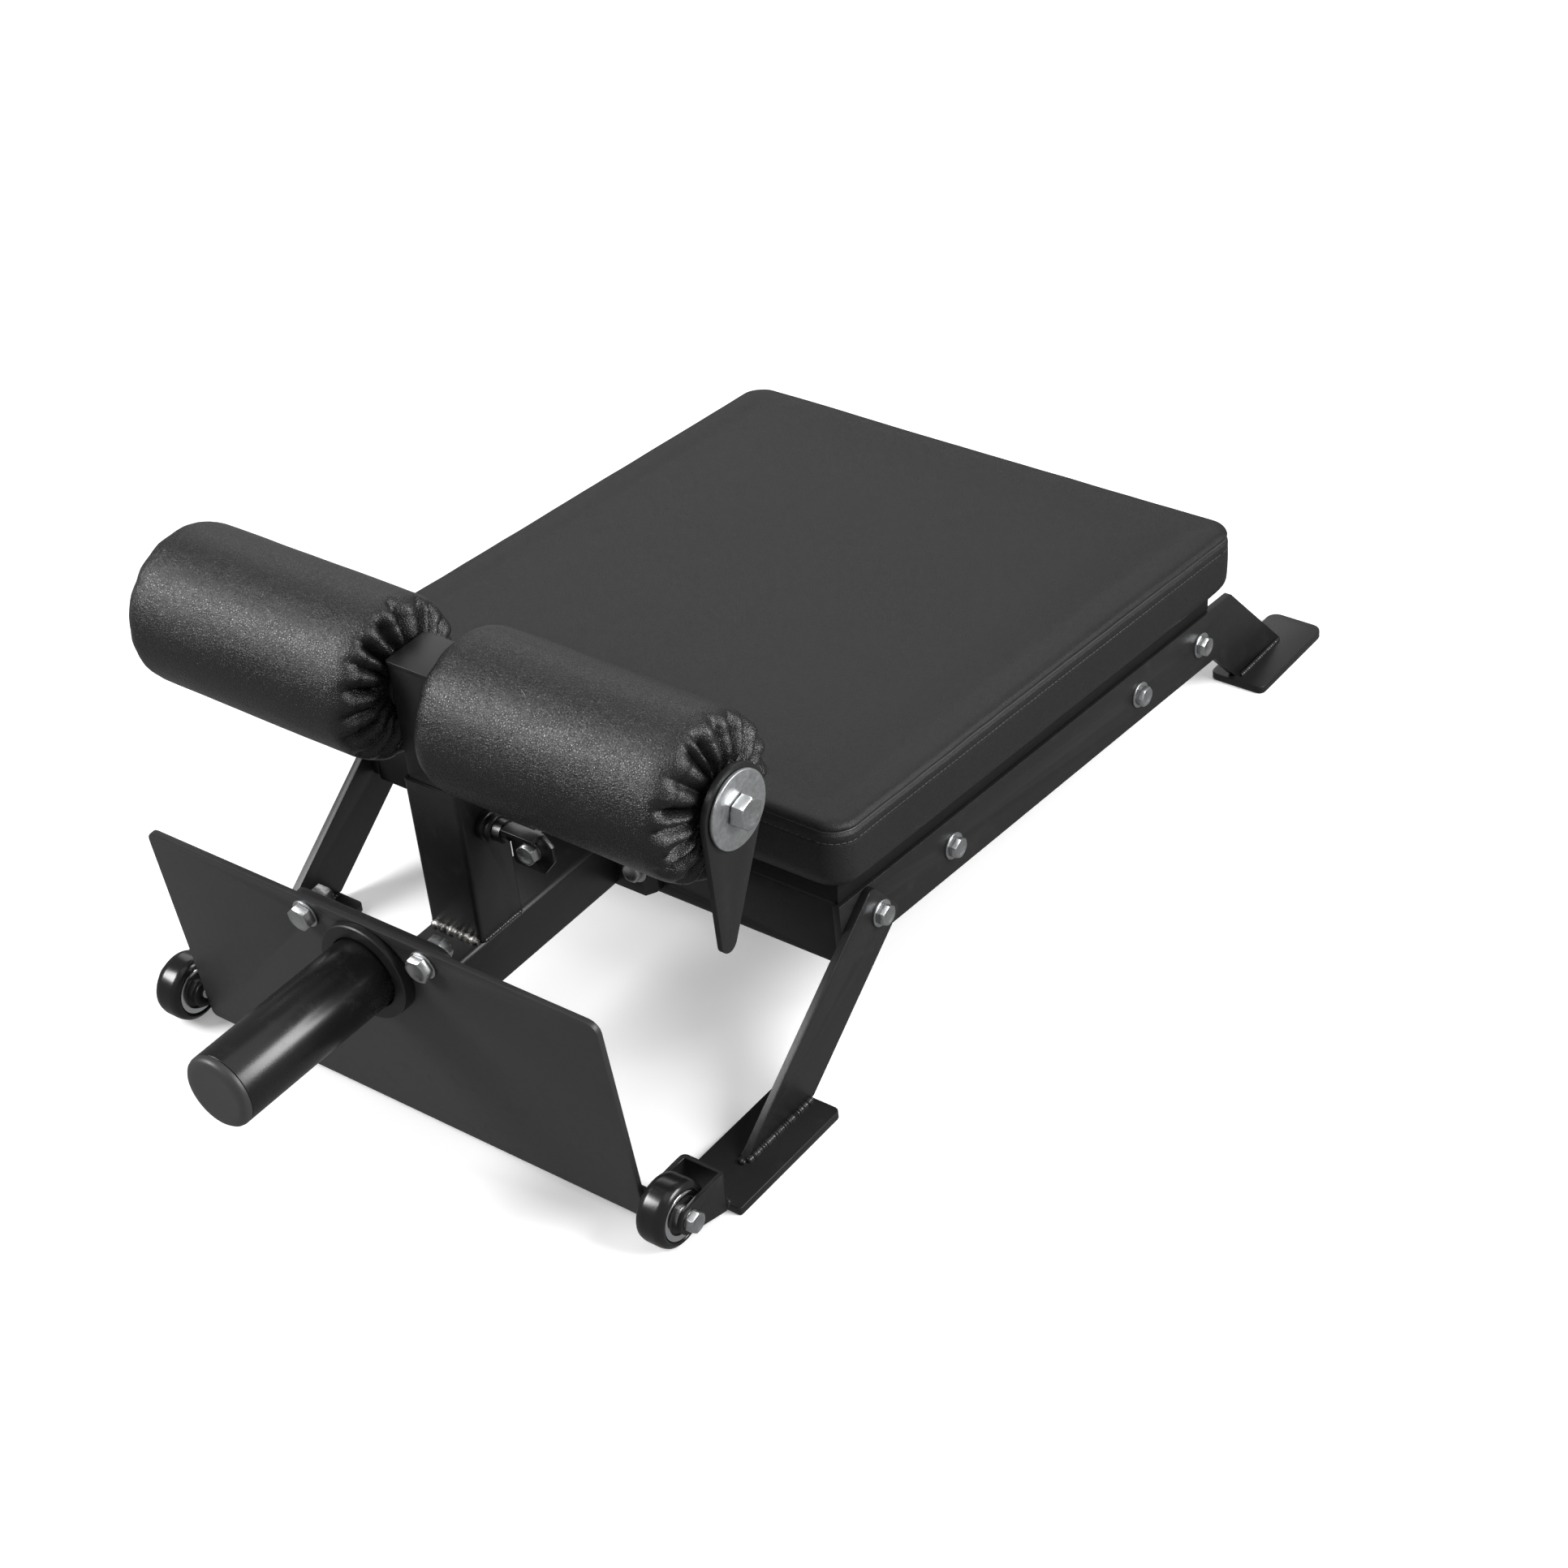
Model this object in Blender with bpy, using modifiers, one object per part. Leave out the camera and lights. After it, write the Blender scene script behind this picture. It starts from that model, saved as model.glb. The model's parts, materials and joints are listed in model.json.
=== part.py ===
"""Roman chair: floor bench with a declined seat, foot plate, weight peg and height-adjustable ankle rollers."""

import math

import bmesh
import bpy
from mathutils import Matrix, Vector

# ---------------------------------------------------------------- driving dimensions (metres)
GAP = 0.0003                      # clearance between touching pieces
RUNNING = 0.0002                  # radial clearance of a turning fit
BOLT_CLEARANCE = 0.0003           # radial clearance of a bolt in its hole

DECLINE = math.radians(5.3)       # seat falls towards the rear
FOOT_LEAN = math.radians(5.6)     # foot plate leans forward at the top

BAR = 0.044                       # width of the flat bar used for rails and legs
BAR_T = 0.0055                    # thickness of that flat bar
RAIL_OUT = 0.2033                 # outer face of the side rails from the centre plane
RAIL_Z = 0.1125                   # rail centre line height at the upright's front face
RAIL_FRONT = 0.136                # front end of the rails
FRAME_REAR = 0.7040               # rear end of the rear feet
RAIL_REAR_TOP = FRAME_REAR - 0.0870     # rear end of the rail's upper edge
RAIL_REAR_LOW = RAIL_REAR_TOP - 0.0240  # rear end of the rail's lower edge
REAR_SPLAY = 0.0060               # outward set of the rear leg where it meets the foot
RAIL_BOLTS = (RAIL_FRONT + 0.0345, RAIL_FRONT + 0.1237, RAIL_REAR_TOP - 0.1265, RAIL_REAR_TOP - 0.0435)

FLOOR_PLATE_T = 0.006
BASE_X = RAIL_OUT + 0.0028        # centre of the base plates
BASE_WIDTH = 0.0498
BASE_FRONT = -0.0218
BASE_REAR = 0.0839
REAR_FOOT_X = RAIL_OUT + 0.0057
REAR_FOOT_WIDTH = 0.0440
REAR_FOOT_FRONT = FRAME_REAR - 0.0910
REAR_FOOT_REAR = FRAME_REAR
REAR_LEG_FRONT = FRAME_REAR - 0.0866    # rear leg's contact with its foot, front and rear
REAR_LEG_REAR = FRAME_REAR - 0.0274
LEG_ANGLE = math.radians(37.4)
LEG_FRONT = 0.0128                # front corner of the leg on the base plate
LEG_TOP = 0.1645                  # front corner of the leg's upper end

WHEEL_R = 0.0230
WHEEL_WIDTH = 0.022
WHEEL_Y = -0.0585
WHEEL_X = BASE_X + 0.0009         # centre of the forks and wheels
WHEEL_CLEAR = 0.0008              # wheel's clearance above the floor while the bench stands
WHEEL_SIDE_GAP = 0.0020
HUB_R = WHEEL_R - 0.0060
AXLE_BOLT_R = 0.0040
FORK_T = 0.0036
FORK_TOP = 0.0345
FORK_NOSE_R = 0.0100

BEAM_WIDTH = 0.0442
BEAM_HEIGHT = 0.0409
BEAM_TOP = 0.1139
TUBE_WALL = 0.0025
TUBE_RADIUS = 0.0035
END_PLATE_FRONT = 0.1300
PLATE_T = 0.0050
CROSS_DEPTH = 0.0200
FRONT_CROSS_HEIGHT = 0.0490       # the front cross rail hangs below the side rails

SLEEVE_DEPTH = 0.0410
SLEEVE_TOP = 0.2288
POST_STOP = 0.0060                # height of the post's foot above the beam at its lowest setting
POST_TOP = 0.3132
POST_TRAVEL = 0.0600
INDEX_PITCH = 0.0200
PIN_Z = 0.1965
PIN_R = 0.0050
CAP_T = 0.0030
CAP_OVERHANG = 0.0008

AXIS_Z = 0.2872                   # roller axis height at the lowest setting
ROLLER_R = 0.0550
ROLLER_END = RAIL_OUT + 0.0182    # outer end of each roller from the centre plane
ROLLER_ROUND = 0.0120
AXLE_R = 0.0125
CORE_WALL = 0.0030
LEVER_T = 0.0040
LEVER_SPACE = 0.0040              # gap from the roller's end to the lever
LEVER_BOSS_R = 0.0280
LEVER_TIP_R = 0.0070
LEVER_REACH = 0.0880
LEVER_LEAN = math.radians(12.5)
WASHER_R = 0.0250
WASHER_T = 0.0025
AXLE_BOLT_SHANK = 0.0060

FOOT_PLATE_T = 0.0040
FOOT_PLATE_HALF = RAIL_OUT - 0.0165
FOOT_PLATE_LOW = 0.0082
FOOT_PLATE_HIGH = 0.1755
FOOT_PLATE_FRONT = -0.0600        # front face at its lower edge
FLANGE_WIDTH = 0.1300
FLANGE_T = 0.0060
FOOT_BOLT_X = 0.0490
FOOT_BOLT_Z = 0.1635

PEG_R = 0.0250
PEG_WALL = 0.0030
PEG_Z = 0.1405
PEG_FRONT = -0.2120
COLLAR_R = 0.0345
COLLAR_FRONT = -0.0820

BOARD_T = 0.0150
BOARD_INSET = 0.0140
CUSHION_HALF = RAIL_OUT + 0.0115
CUSHION_T = 0.0515
CUSHION_FRONT = 0.1230
CUSHION_LENGTH = RAIL_REAR_TOP - 0.1370
CUSHION_CORNER = 0.0200
CUSHION_ROUND = 0.0080

Y_MIDDLE = (PEG_FRONT + REAR_FOOT_REAR) / 2.0

# ---------------------------------------------------------------- scene
for old in list(bpy.data.objects):
    bpy.data.objects.remove(old, do_unlink=True)

parts = bpy.data.collections.new("roman_chair")
bpy.context.scene.collection.children.link(parts)
cutters = bpy.data.collections.new("cutters")
bpy.context.scene.collection.children.link(cutters)
cutters.hide_render = True


def material(name, colour, metallic, roughness):
    made = bpy.data.materials.new(name)
    made.use_nodes = True
    shader = made.node_tree.nodes["Principled BSDF"]
    shader.inputs["Base Color"].default_value = (*colour, 1.0)
    shader.inputs["Metallic"].default_value = metallic
    shader.inputs["Roughness"].default_value = roughness
    return made


def finish_kind(kind, name):
    """One material for each piece, of one of the kinds that the bench is made from."""
    kinds = {
        "coat": ((0.014, 0.014, 0.015), 0.0, 0.42),
        "zinc": ((0.62, 0.63, 0.64), 1.0, 0.28),
        "chrome": ((0.75, 0.76, 0.78), 1.0, 0.12),
        "leather": ((0.022, 0.022, 0.023), 0.0, 0.48),
        "plastic": ((0.012, 0.012, 0.012), 0.0, 0.35),
        "wood": ((0.10, 0.07, 0.045), 0.0, 0.70),
        "steel": ((0.30, 0.30, 0.31), 1.0, 0.40),
    }
    colour, metallic, roughness = kinds[kind]
    return material(name + "_" + kind, colour, metallic, roughness)


def empty(name, location, parent=None, rotation=(0.0, 0.0, 0.0)):
    made = bpy.data.objects.new(name, None)
    parts.objects.link(made)
    made.location = location
    made.rotation_euler = rotation
    made.parent = parent
    return made


origin = empty("bench_origin", (0.0, -Y_MIDDLE, 0.0))
seat_datum = empty("seat_datum", (0.0, 0.0, RAIL_Z), origin, (-DECLINE, 0.0, 0.0))
FOOT_PLATE_REAR = FOOT_PLATE_FRONT + FOOT_PLATE_T / math.cos(FOOT_LEAN)
foot_datum = empty("foot_datum", (0.0, FOOT_PLATE_REAR, FOOT_PLATE_LOW), origin, (FOOT_LEAN, 0.0, 0.0))


def smooth_round(piece, angle=35.0):
    piece.data.shade_smooth()
    piece.data.set_sharp_from_angle(angle=math.radians(angle))


def place(mesh, name, kind, location, rotation=(0.0, 0.0, 0.0), parent=None):
    made = bpy.data.objects.new(name, mesh)
    if kind is None:
        cutters.objects.link(made)
        made.hide_render = True
        made.display_type = "WIRE"
    else:
        parts.objects.link(made)
        mesh.materials.clear()
        mesh.materials.append(finish_kind(kind, name))
    made.location = location
    made.rotation_euler = rotation
    made.parent = parent or origin
    return made


def box_mesh(name, size):
    mesh = bpy.data.meshes.new(name)
    shape = bmesh.new()
    bmesh.ops.create_cube(shape, size=1.0)
    bmesh.ops.scale(shape, vec=Vector(size), verts=shape.verts)
    shape.to_mesh(mesh)
    shape.free()
    return mesh


def box(name, kind, low, high, rotation=(0.0, 0.0, 0.0), parent=None):
    size = [b - a for a, b in zip(low, high)]
    centre = [(a + b) / 2.0 for a, b in zip(low, high)]
    return place(box_mesh(name, size), name, kind, centre, rotation, parent)


def outline_mesh(name, loops, thickness):
    """Flat outlines in the XY plane given thickness along Z, centred on the plane."""
    curve = bpy.data.curves.new(name, "CURVE")
    curve.dimensions = "2D"
    curve.fill_mode = "BOTH"
    curve.extrude = thickness / 2.0
    for loop in loops:
        spline = curve.splines.new("POLY")
        spline.points.add(len(loop) - 1)
        for point, (x, y) in zip(spline.points, loop):
            point.co = (x, y, 0.0, 1.0)
        spline.use_cyclic_u = True
    holder = bpy.data.objects.new(name + "_outline", curve)
    bpy.context.scene.collection.objects.link(holder)
    graph = bpy.context.evaluated_depsgraph_get()
    mesh = bpy.data.meshes.new_from_object(holder.evaluated_get(graph))
    bpy.data.objects.remove(holder, do_unlink=True)
    shape = bmesh.new()
    shape.from_mesh(mesh)
    bmesh.ops.remove_doubles(shape, verts=shape.verts, dist=1e-6)
    bmesh.ops.recalc_face_normals(shape, faces=shape.faces)
    shape.to_mesh(mesh)
    shape.free()
    mesh.name = name
    return mesh


def lathe(name, kind, profile, segments, location, rotation=(0.0, 0.0, 0.0), ring=False, parent=None):
    """Profile points (radius, height) turned about local Z."""
    mesh = bpy.data.meshes.new(name)
    points = [(r, 0.0, z) for r, z in profile]
    edges = [(i, i + 1) for i in range(len(points) - 1)]
    if ring:
        edges.append((len(points) - 1, 0))
    mesh.from_pydata(points, edges, [])
    made = place(mesh, name, kind, location, rotation, parent)
    turn = made.modifiers.new("turn", "SCREW")
    turn.axis = "Z"
    turn.steps = segments
    turn.render_steps = segments
    turn.use_merge_vertices = True
    turn.merge_threshold = 0.00001
    return made


def turned_mesh(name, profile, segments, ring=False):
    """The same turned shape as a plain mesh, for pieces that are cut or joined afterwards."""
    holder = lathe(name + "_turned", None, profile, segments, (0.0, 0.0, 0.0), ring=ring)
    holder.parent = None
    graph = bpy.context.evaluated_depsgraph_get()
    mesh = bpy.data.meshes.new_from_object(holder.evaluated_get(graph))
    bpy.data.objects.remove(holder, do_unlink=True)
    shape = bmesh.new()
    shape.from_mesh(mesh)
    bmesh.ops.remove_doubles(shape, verts=shape.verts, dist=1e-6)
    bmesh.ops.recalc_face_normals(shape, faces=shape.faces)
    shape.to_mesh(mesh)
    shape.free()
    mesh.name = name
    return mesh


def cylinder_mesh(name, radius, length, segments):
    half = length / 2.0
    return turned_mesh(name, [(0.0, half), (radius, half), (radius, -half), (0.0, -half)], segments)


def hexagon_mesh(name, across_flats, height):
    reach = across_flats / math.sqrt(3.0)
    loop = [(reach * math.cos(math.radians(60 * i)), reach * math.sin(math.radians(60 * i))) for i in range(6)]
    return outline_mesh(name, [loop], height)


def combine(piece, other, operation):
    step = piece.modifiers.new(other.name, "BOOLEAN")
    step.operation = operation
    step.solver = "EXACT"
    step.object = other
    return piece


def cut(piece, other):
    return combine(piece, other, "DIFFERENCE")


def bore(piece, name, radius, length, location, rotation, parent=None, segments=20):
    tool = place(cylinder_mesh(name, radius, length, segments), name, None, location, rotation, parent)
    return cut(piece, tool)


def bevel(piece, width, segments=2, angle=35.0):
    edge = piece.modifiers.new("edge", "BEVEL")
    edge.width = width
    edge.segments = segments
    edge.limit_method = "ANGLE"
    edge.angle_limit = math.radians(angle)
    edge.use_clamp_overlap = True
    return piece


def rounded(points, radii, steps=4):
    """Outline with each corner replaced by an arc of its own radius."""
    loop = []
    count = len(points)
    for i, (point, radius) in enumerate(zip(points, radii)):
        here = Vector(point)
        if radius <= 0.0:
            loop.append(tuple(here))
            continue
        before = (Vector(points[i - 1]) - here).normalized()
        after = (Vector(points[(i + 1) % count]) - here).normalized()
        half = before.angle(after) / 2.0
        reach = radius / math.tan(half)
        centre = here + (before + after).normalized() * radius / math.sin(half)
        first = here + before * reach - centre
        last = here + after * reach - centre
        sweep = first.angle_signed(last)
        for k in range(steps + 1):
            arm = first.copy()
            arm.rotate(Matrix.Rotation(-sweep * k / steps, 2))
            loop.append(tuple(centre + arm))
    return loop


def rectangle(half_x, half_y, radius, steps=4):
    corners = [(-half_x, -half_y), (half_x, -half_y), (half_x, half_y), (-half_x, half_y)]
    if radius <= 0.0:
        return corners
    return rounded(corners, [radius] * 4, steps)


def tube_mesh(name, width, height, length):
    outer = rectangle(width / 2.0, height / 2.0, TUBE_RADIUS)
    inner = rectangle(width / 2.0 - TUBE_WALL, height / 2.0 - TUBE_WALL, TUBE_RADIUS - TUBE_WALL, 2)
    return outline_mesh(name, [outer, inner], length)


TO_RIGHT = (0.0, math.pi / 2.0, 0.0)       # local Z points to +X
TO_LEFT = (0.0, -math.pi / 2.0, 0.0)       # local Z points to -X
TO_FRONT = (math.pi / 2.0, 0.0, 0.0)       # local Z points to -Y
SIDE_PLANE = (math.pi / 2.0, 0.0, math.pi / 2.0)   # outline x is world Y, outline y is world Z


def sides():
    yield "right", 1.0
    yield "left", -1.0


def rail_line(y, offset):
    """Height of a line parallel to the seat at the given distance from the rail's centre line."""
    return RAIL_Z + offset / math.cos(DECLINE) - math.tan(DECLINE) * y


# ---------------------------------------------------------------- fasteners
def fastener(name, spec, grip, location, rotation, parent=None, turn=0.0, nut=False):
    """Hex bolt with its washer, and its nut where one shows, along local Z with the seat face at zero."""
    flats, head, washer_r, washer_t, shank_r = spec
    low = -grip
    profile = [(0.0, washer_t + head * 0.5), (shank_r, washer_t + head * 0.5), (shank_r, washer_t),
               (washer_r, washer_t), (washer_r, GAP), (shank_r, GAP), (shank_r, low), (0.0, low)]
    piece = place(turned_mesh(name, profile, 20), name, "zinc", location, rotation, parent)
    hexagon = place(hexagon_mesh(name + "_head", flats, head), name + "_head", None,
                    (0.0, 0.0, washer_t + head / 2.0 - 0.0002), (0.0, 0.0, turn), piece)
    combine(piece, hexagon, "UNION")
    if nut:
        nut_h = head * 1.2
        ring = place(hexagon_mesh(name + "_nut", flats, nut_h), name + "_nut", None,
                     (0.0, 0.0, nut["at"] - nut_h / 2.0), (0.0, 0.0, turn + 0.3), piece)
        combine(piece, ring, "UNION")
    return piece


M8 = (0.0130, 0.0053, 0.0095, 0.0016, 0.0040)
M10 = (0.0160, 0.0064, 0.0100, 0.0018, 0.0050)
M12 = (0.0190, 0.0080, None, None, AXLE_BOLT_SHANK)

# ---------------------------------------------------------------- base plates, legs and wheels
leg_dir = (math.cos(LEG_ANGLE), math.sin(LEG_ANGLE))
leg_foot_z = FLOOR_PLATE_T + GAP
leg_top_z = leg_foot_z + (LEG_TOP - LEG_FRONT) * math.tan(LEG_ANGLE)
leg_rear_foot = LEG_FRONT + BAR / math.sin(LEG_ANGLE)
leg_end_rear = (LEG_TOP + BAR * math.sin(LEG_ANGLE), leg_top_z - BAR * math.cos(LEG_ANGLE))
LEG_IN = RAIL_OUT + GAP
LEG_OUT = LEG_IN + BAR_T
rail_bolt_z = [rail_line(y, 0.0) for y in RAIL_BOLTS]
wheel_z = WHEEL_R + WHEEL_CLEAR
fork_half = WHEEL_WIDTH / 2.0 + WHEEL_SIDE_GAP + FORK_T
fork_back = BASE_FRONT - GAP
fork_low = 0.0030

for side, s in sides():
    plate = rounded(
        [(-BASE_WIDTH / 2.0, BASE_FRONT), (BASE_WIDTH / 2.0, BASE_FRONT),
         (BASE_WIDTH / 2.0, BASE_REAR), (-BASE_WIDTH / 2.0, BASE_REAR)],
        [0.002, 0.002, 0.004, 0.004], 3)
    base = place(outline_mesh("base_plate_" + side, [plate], FLOOR_PLATE_T), "base_plate_" + side, "coat",
                 (s * BASE_X, 0.0, FLOOR_PLATE_T / 2.0))
    bevel(base, 0.0006, 1)

    leg_loop = rounded(
        [(LEG_FRONT, leg_foot_z), (leg_rear_foot, leg_foot_z), leg_end_rear, (LEG_TOP, leg_top_z)],
        [0.0, 0.0, 0.006, 0.006], 4)
    leg = place(outline_mesh("front_leg_" + side, [leg_loop], BAR_T), "front_leg_" + side, "coat",
                (s * (LEG_IN + LEG_OUT) / 2.0, 0.0, 0.0), SIDE_PLANE)
    bore(leg, "leg_hole_" + side, M8[4] + BOLT_CLEARANCE, 0.03,
         (s * LEG_IN, RAIL_BOLTS[0], rail_bolt_z[0]), TO_RIGHT)

    # Fork: a channel open to the front, its cheeks narrowing to a round nose at the axle.
    nose = (WHEEL_Y, wheel_z)
    nose_arc = [(nose[0] + FORK_NOSE_R * math.cos(a), nose[1] + FORK_NOSE_R * math.sin(a))
                for a in [math.radians(d) for d in range(105, 260, 14)]]
    cheek = [(fork_back, fork_low), (fork_back, FORK_TOP), (fork_back - 0.012, FORK_TOP)] + nose_arc
    fork = place(outline_mesh("wheel_fork_" + side, [cheek], 2.0 * fork_half), "wheel_fork_" + side, "coat",
                 (s * WHEEL_X, 0.0, 0.0), SIDE_PLANE)
    bevel_round = rectangle(fork_half - FORK_T, 0.05, 0.0)
    space = place(outline_mesh("fork_space_" + side, [bevel_round], 0.10), "fork_space_" + side, None,
                  (s * WHEEL_X, fork_back - FORK_T - 0.05, 0.02))
    cut(fork, space)
    bore(fork, "fork_bore_" + side, AXLE_BOLT_R + BOLT_CLEARANCE, 0.08, (s * WHEEL_X, WHEEL_Y, wheel_z), TO_RIGHT)

    fit_half = WHEEL_WIDTH / 2.0
    tyre_profile = [(HUB_R + GAP, fit_half - 0.0010), (WHEEL_R - 0.0035, fit_half), (WHEEL_R - 0.0012, fit_half - 0.0010),
                    (WHEEL_R, fit_half - 0.0040), (WHEEL_R, -fit_half + 0.0040),
                    (WHEEL_R - 0.0012, -fit_half + 0.0010), (WHEEL_R - 0.0035, -fit_half),
                    (HUB_R + GAP, -fit_half + 0.0010)]
    tyre = lathe("wheel_tyre_" + side, "plastic", tyre_profile, 36, (s * WHEEL_X, WHEEL_Y, wheel_z), TO_RIGHT, True)
    smooth_round(tyre)
    bearing_profile = [(AXLE_BOLT_R + RUNNING, fit_half + 0.0010), (0.0080, fit_half + 0.0010),
                       (0.0100, fit_half - 0.0004), (HUB_R, fit_half - 0.0004), (HUB_R, -fit_half + 0.0004),
                       (0.0100, -fit_half + 0.0004), (0.0080, -fit_half - 0.0010),
                       (AXLE_BOLT_R + RUNNING, -fit_half - 0.0010)]
    bearing = lathe("wheel_bearing_" + side, "chrome", bearing_profile, 32,
                    (s * WHEEL_X, WHEEL_Y, wheel_z), TO_RIGHT, True)
    smooth_round(bearing)
    outward = TO_RIGHT if s > 0 else TO_LEFT
    wheel_spec = (0.0130, 0.0053, 0.0068, 0.0006, AXLE_BOLT_R)
    fastener("wheel_axle_" + side, wheel_spec, 2.0 * fork_half + 0.0012,
             (s * (WHEEL_X + fork_half), WHEEL_Y, wheel_z), outward)

cross_half = WHEEL_X - fork_half - GAP
cross_front = FOOT_PLATE_REAR + GAP
box("base_cross_bar", "coat", (-cross_half, cross_front, FOOT_PLATE_LOW - 0.0050),
    (cross_half, cross_front + 0.0120, 0.0160))

# ---------------------------------------------------------------- side rails with their bent rear legs
rail_top_rear = (RAIL_REAR_TOP, rail_line(RAIL_REAR_TOP, BAR / 2.0))
rail_low_rear = (RAIL_REAR_LOW, rail_line(RAIL_REAR_LOW, -BAR / 2.0))
rail_top_front = (RAIL_FRONT, rail_line(RAIL_FRONT, BAR / 2.0))
rail_low_front = (RAIL_FRONT, rail_line(RAIL_FRONT, -BAR / 2.0))
foot_seat = FLOOR_PLATE_T + GAP
crease = (Vector(rail_top_rear) - Vector(rail_low_rear)).normalized()
crease_normal = Vector((crease.y, -crease.x))


def bend_offset(point):
    """Outward set of a point beyond the crease, growing with its distance from it."""
    far = (Vector((REAR_LEG_REAR, foot_seat)) - Vector(rail_low_rear)).dot(crease_normal)
    return REAR_SPLAY * (Vector(point) - Vector(rail_low_rear)).dot(crease_normal) / far


for side, s in sides():
    mesh = bpy.data.meshes.new("side_rail_" + side)
    shape = bmesh.new()
    flat = [rail_top_front, rail_low_front, rail_low_rear, rail_top_rear]
    bent = [(REAR_LEG_FRONT, foot_seat), (REAR_LEG_REAR, foot_seat)]
    flat_verts = [shape.verts.new((s * RAIL_OUT, y, z)) for y, z in flat]
    bent_verts = [shape.verts.new((s * (RAIL_OUT + bend_offset((y, z))), y, z)) for y, z in bent]
    shape.faces.new(flat_verts)
    shape.faces.new([flat_verts[3], flat_verts[2], bent_verts[0], bent_verts[1]])
    bmesh.ops.recalc_face_normals(shape, faces=shape.faces)
    if shape.faces[:][0].normal.x * s < 0.0:
        bmesh.ops.reverse_faces(shape, faces=shape.faces[:])
    shape.to_mesh(mesh)
    shape.free()
    rail = place(mesh, "side_rail_" + side, "coat", (0.0, 0.0, 0.0))
    thick = rail.modifiers.new("thick", "SOLIDIFY")
    thick.thickness = BAR_T
    thick.offset = -1.0
    thick.use_even_offset = True
    under = box("rear_leg_end_" + side, None, (s * RAIL_OUT - 0.03, REAR_LEG_FRONT - 0.02, -0.02),
                (s * RAIL_OUT + 0.03, REAR_LEG_REAR + 0.02, foot_seat + 0.0002))
    cut(rail, under)
    for index, y in enumerate(RAIL_BOLTS):
        bore(rail, "rail_hole_%s_%d" % (side, index + 1), M8[4] + BOLT_CLEARANCE, 0.03,
             (s * (RAIL_OUT - BAR_T / 2.0), y, rail_bolt_z[index]), TO_RIGHT)
        head_x = LEG_OUT if index == 0 else RAIL_OUT
        outward = TO_RIGHT if s > 0 else TO_LEFT
        grip = 0.0255 if index == 0 else 0.0200
        fastener("rail_bolt_%s_%d" % (side, index + 1), M8, grip, (s * head_x, y, rail_bolt_z[index]), outward,
                 turn=0.35 + 0.4 * index)

    foot = rounded(
        [(-REAR_FOOT_WIDTH / 2.0, REAR_FOOT_FRONT), (REAR_FOOT_WIDTH / 2.0, REAR_FOOT_FRONT),
         (REAR_FOOT_WIDTH / 2.0, REAR_FOOT_REAR), (-REAR_FOOT_WIDTH / 2.0, REAR_FOOT_REAR)],
        [0.005, 0.005, 0.008, 0.008], 4)
    pad = place(outline_mesh("rear_foot_" + side, [foot], FLOOR_PLATE_T), "rear_foot_" + side, "coat",
                (s * REAR_FOOT_X, 0.0, FLOOR_PLATE_T / 2.0))
    bevel(pad, 0.0006, 1)

# ---------------------------------------------------------------- cross rails and seat brackets
rail_in = RAIL_OUT - BAR_T - GAP
front_u = RAIL_FRONT / math.cos(DECLINE) + 0.0020
rear_u = RAIL_BOLTS[3] / math.cos(DECLINE) - CROSS_DEPTH / 2.0
for name, low_u, height in (("front_cross_rail", front_u, FRONT_CROSS_HEIGHT), ("rear_cross_rail", rear_u, BAR)):
    place(tube_mesh(name, CROSS_DEPTH, height, 2.0 * rail_in), name, "coat",
          (0.0, low_u + CROSS_DEPTH / 2.0, (BAR - height) / 2.0), SIDE_PLANE, seat_datum)

BRACKET_T = 0.0030
BRACKET_LEG = 0.0300
bracket_low = front_u + CROSS_DEPTH + 0.0400
bracket_high = rear_u - 0.0030
for side, s in sides():
    angle_loop = [(0.0, 0.0), (-s * BRACKET_LEG, 0.0), (-s * BRACKET_LEG, -BRACKET_T),
                  (-s * BRACKET_T, -BRACKET_T), (-s * BRACKET_T, -BRACKET_LEG), (0.0, -BRACKET_LEG)]
    bracket = place(outline_mesh("seat_bracket_" + side, [angle_loop], bracket_high - bracket_low),
                    "seat_bracket_" + side, "coat",
                    (s * rail_in, (bracket_low + bracket_high) / 2.0, BAR / 2.0), TO_FRONT, seat_datum)
    for index, y in enumerate(RAIL_BOLTS[1:3]):
        bore(bracket, "bracket_hole_%s_%d" % (side, index + 1), M8[4] + BOLT_CLEARANCE, 0.03,
             (s * rail_in, y, rail_bolt_z[index + 1]), TO_RIGHT, origin)

# ---------------------------------------------------------------- main beam, its plates and the upright sleeve
beam_mid = BEAM_TOP - BEAM_HEIGHT / 2.0
beam_low = BEAM_TOP - BEAM_HEIGHT
END_PLATE_HALF = 0.0560
end_plate_u = front_u - GAP - PLATE_T
place(outline_mesh("beam_end_plate", [rounded(
    [(-END_PLATE_HALF, -0.0210), (-END_PLATE_HALF + 0.0110, -0.0285), (END_PLATE_HALF - 0.0110, -0.0285),
     (END_PLATE_HALF, -0.0210), (END_PLATE_HALF, 0.0180), (-END_PLATE_HALF, 0.0180)],
    [0.002, 0.002, 0.002, 0.002, 0.006, 0.006], 2)], PLATE_T), "beam_end_plate", "coat",
    (0.0, end_plate_u + PLATE_T / 2.0, 0.0), TO_FRONT, seat_datum)
end_plate = parts.objects["beam_end_plate"]
cross = parts.objects["front_cross_rail"]
BEAM_BOLT_X = 0.0380
BEAM_BOLT_N = -0.0095
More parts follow.
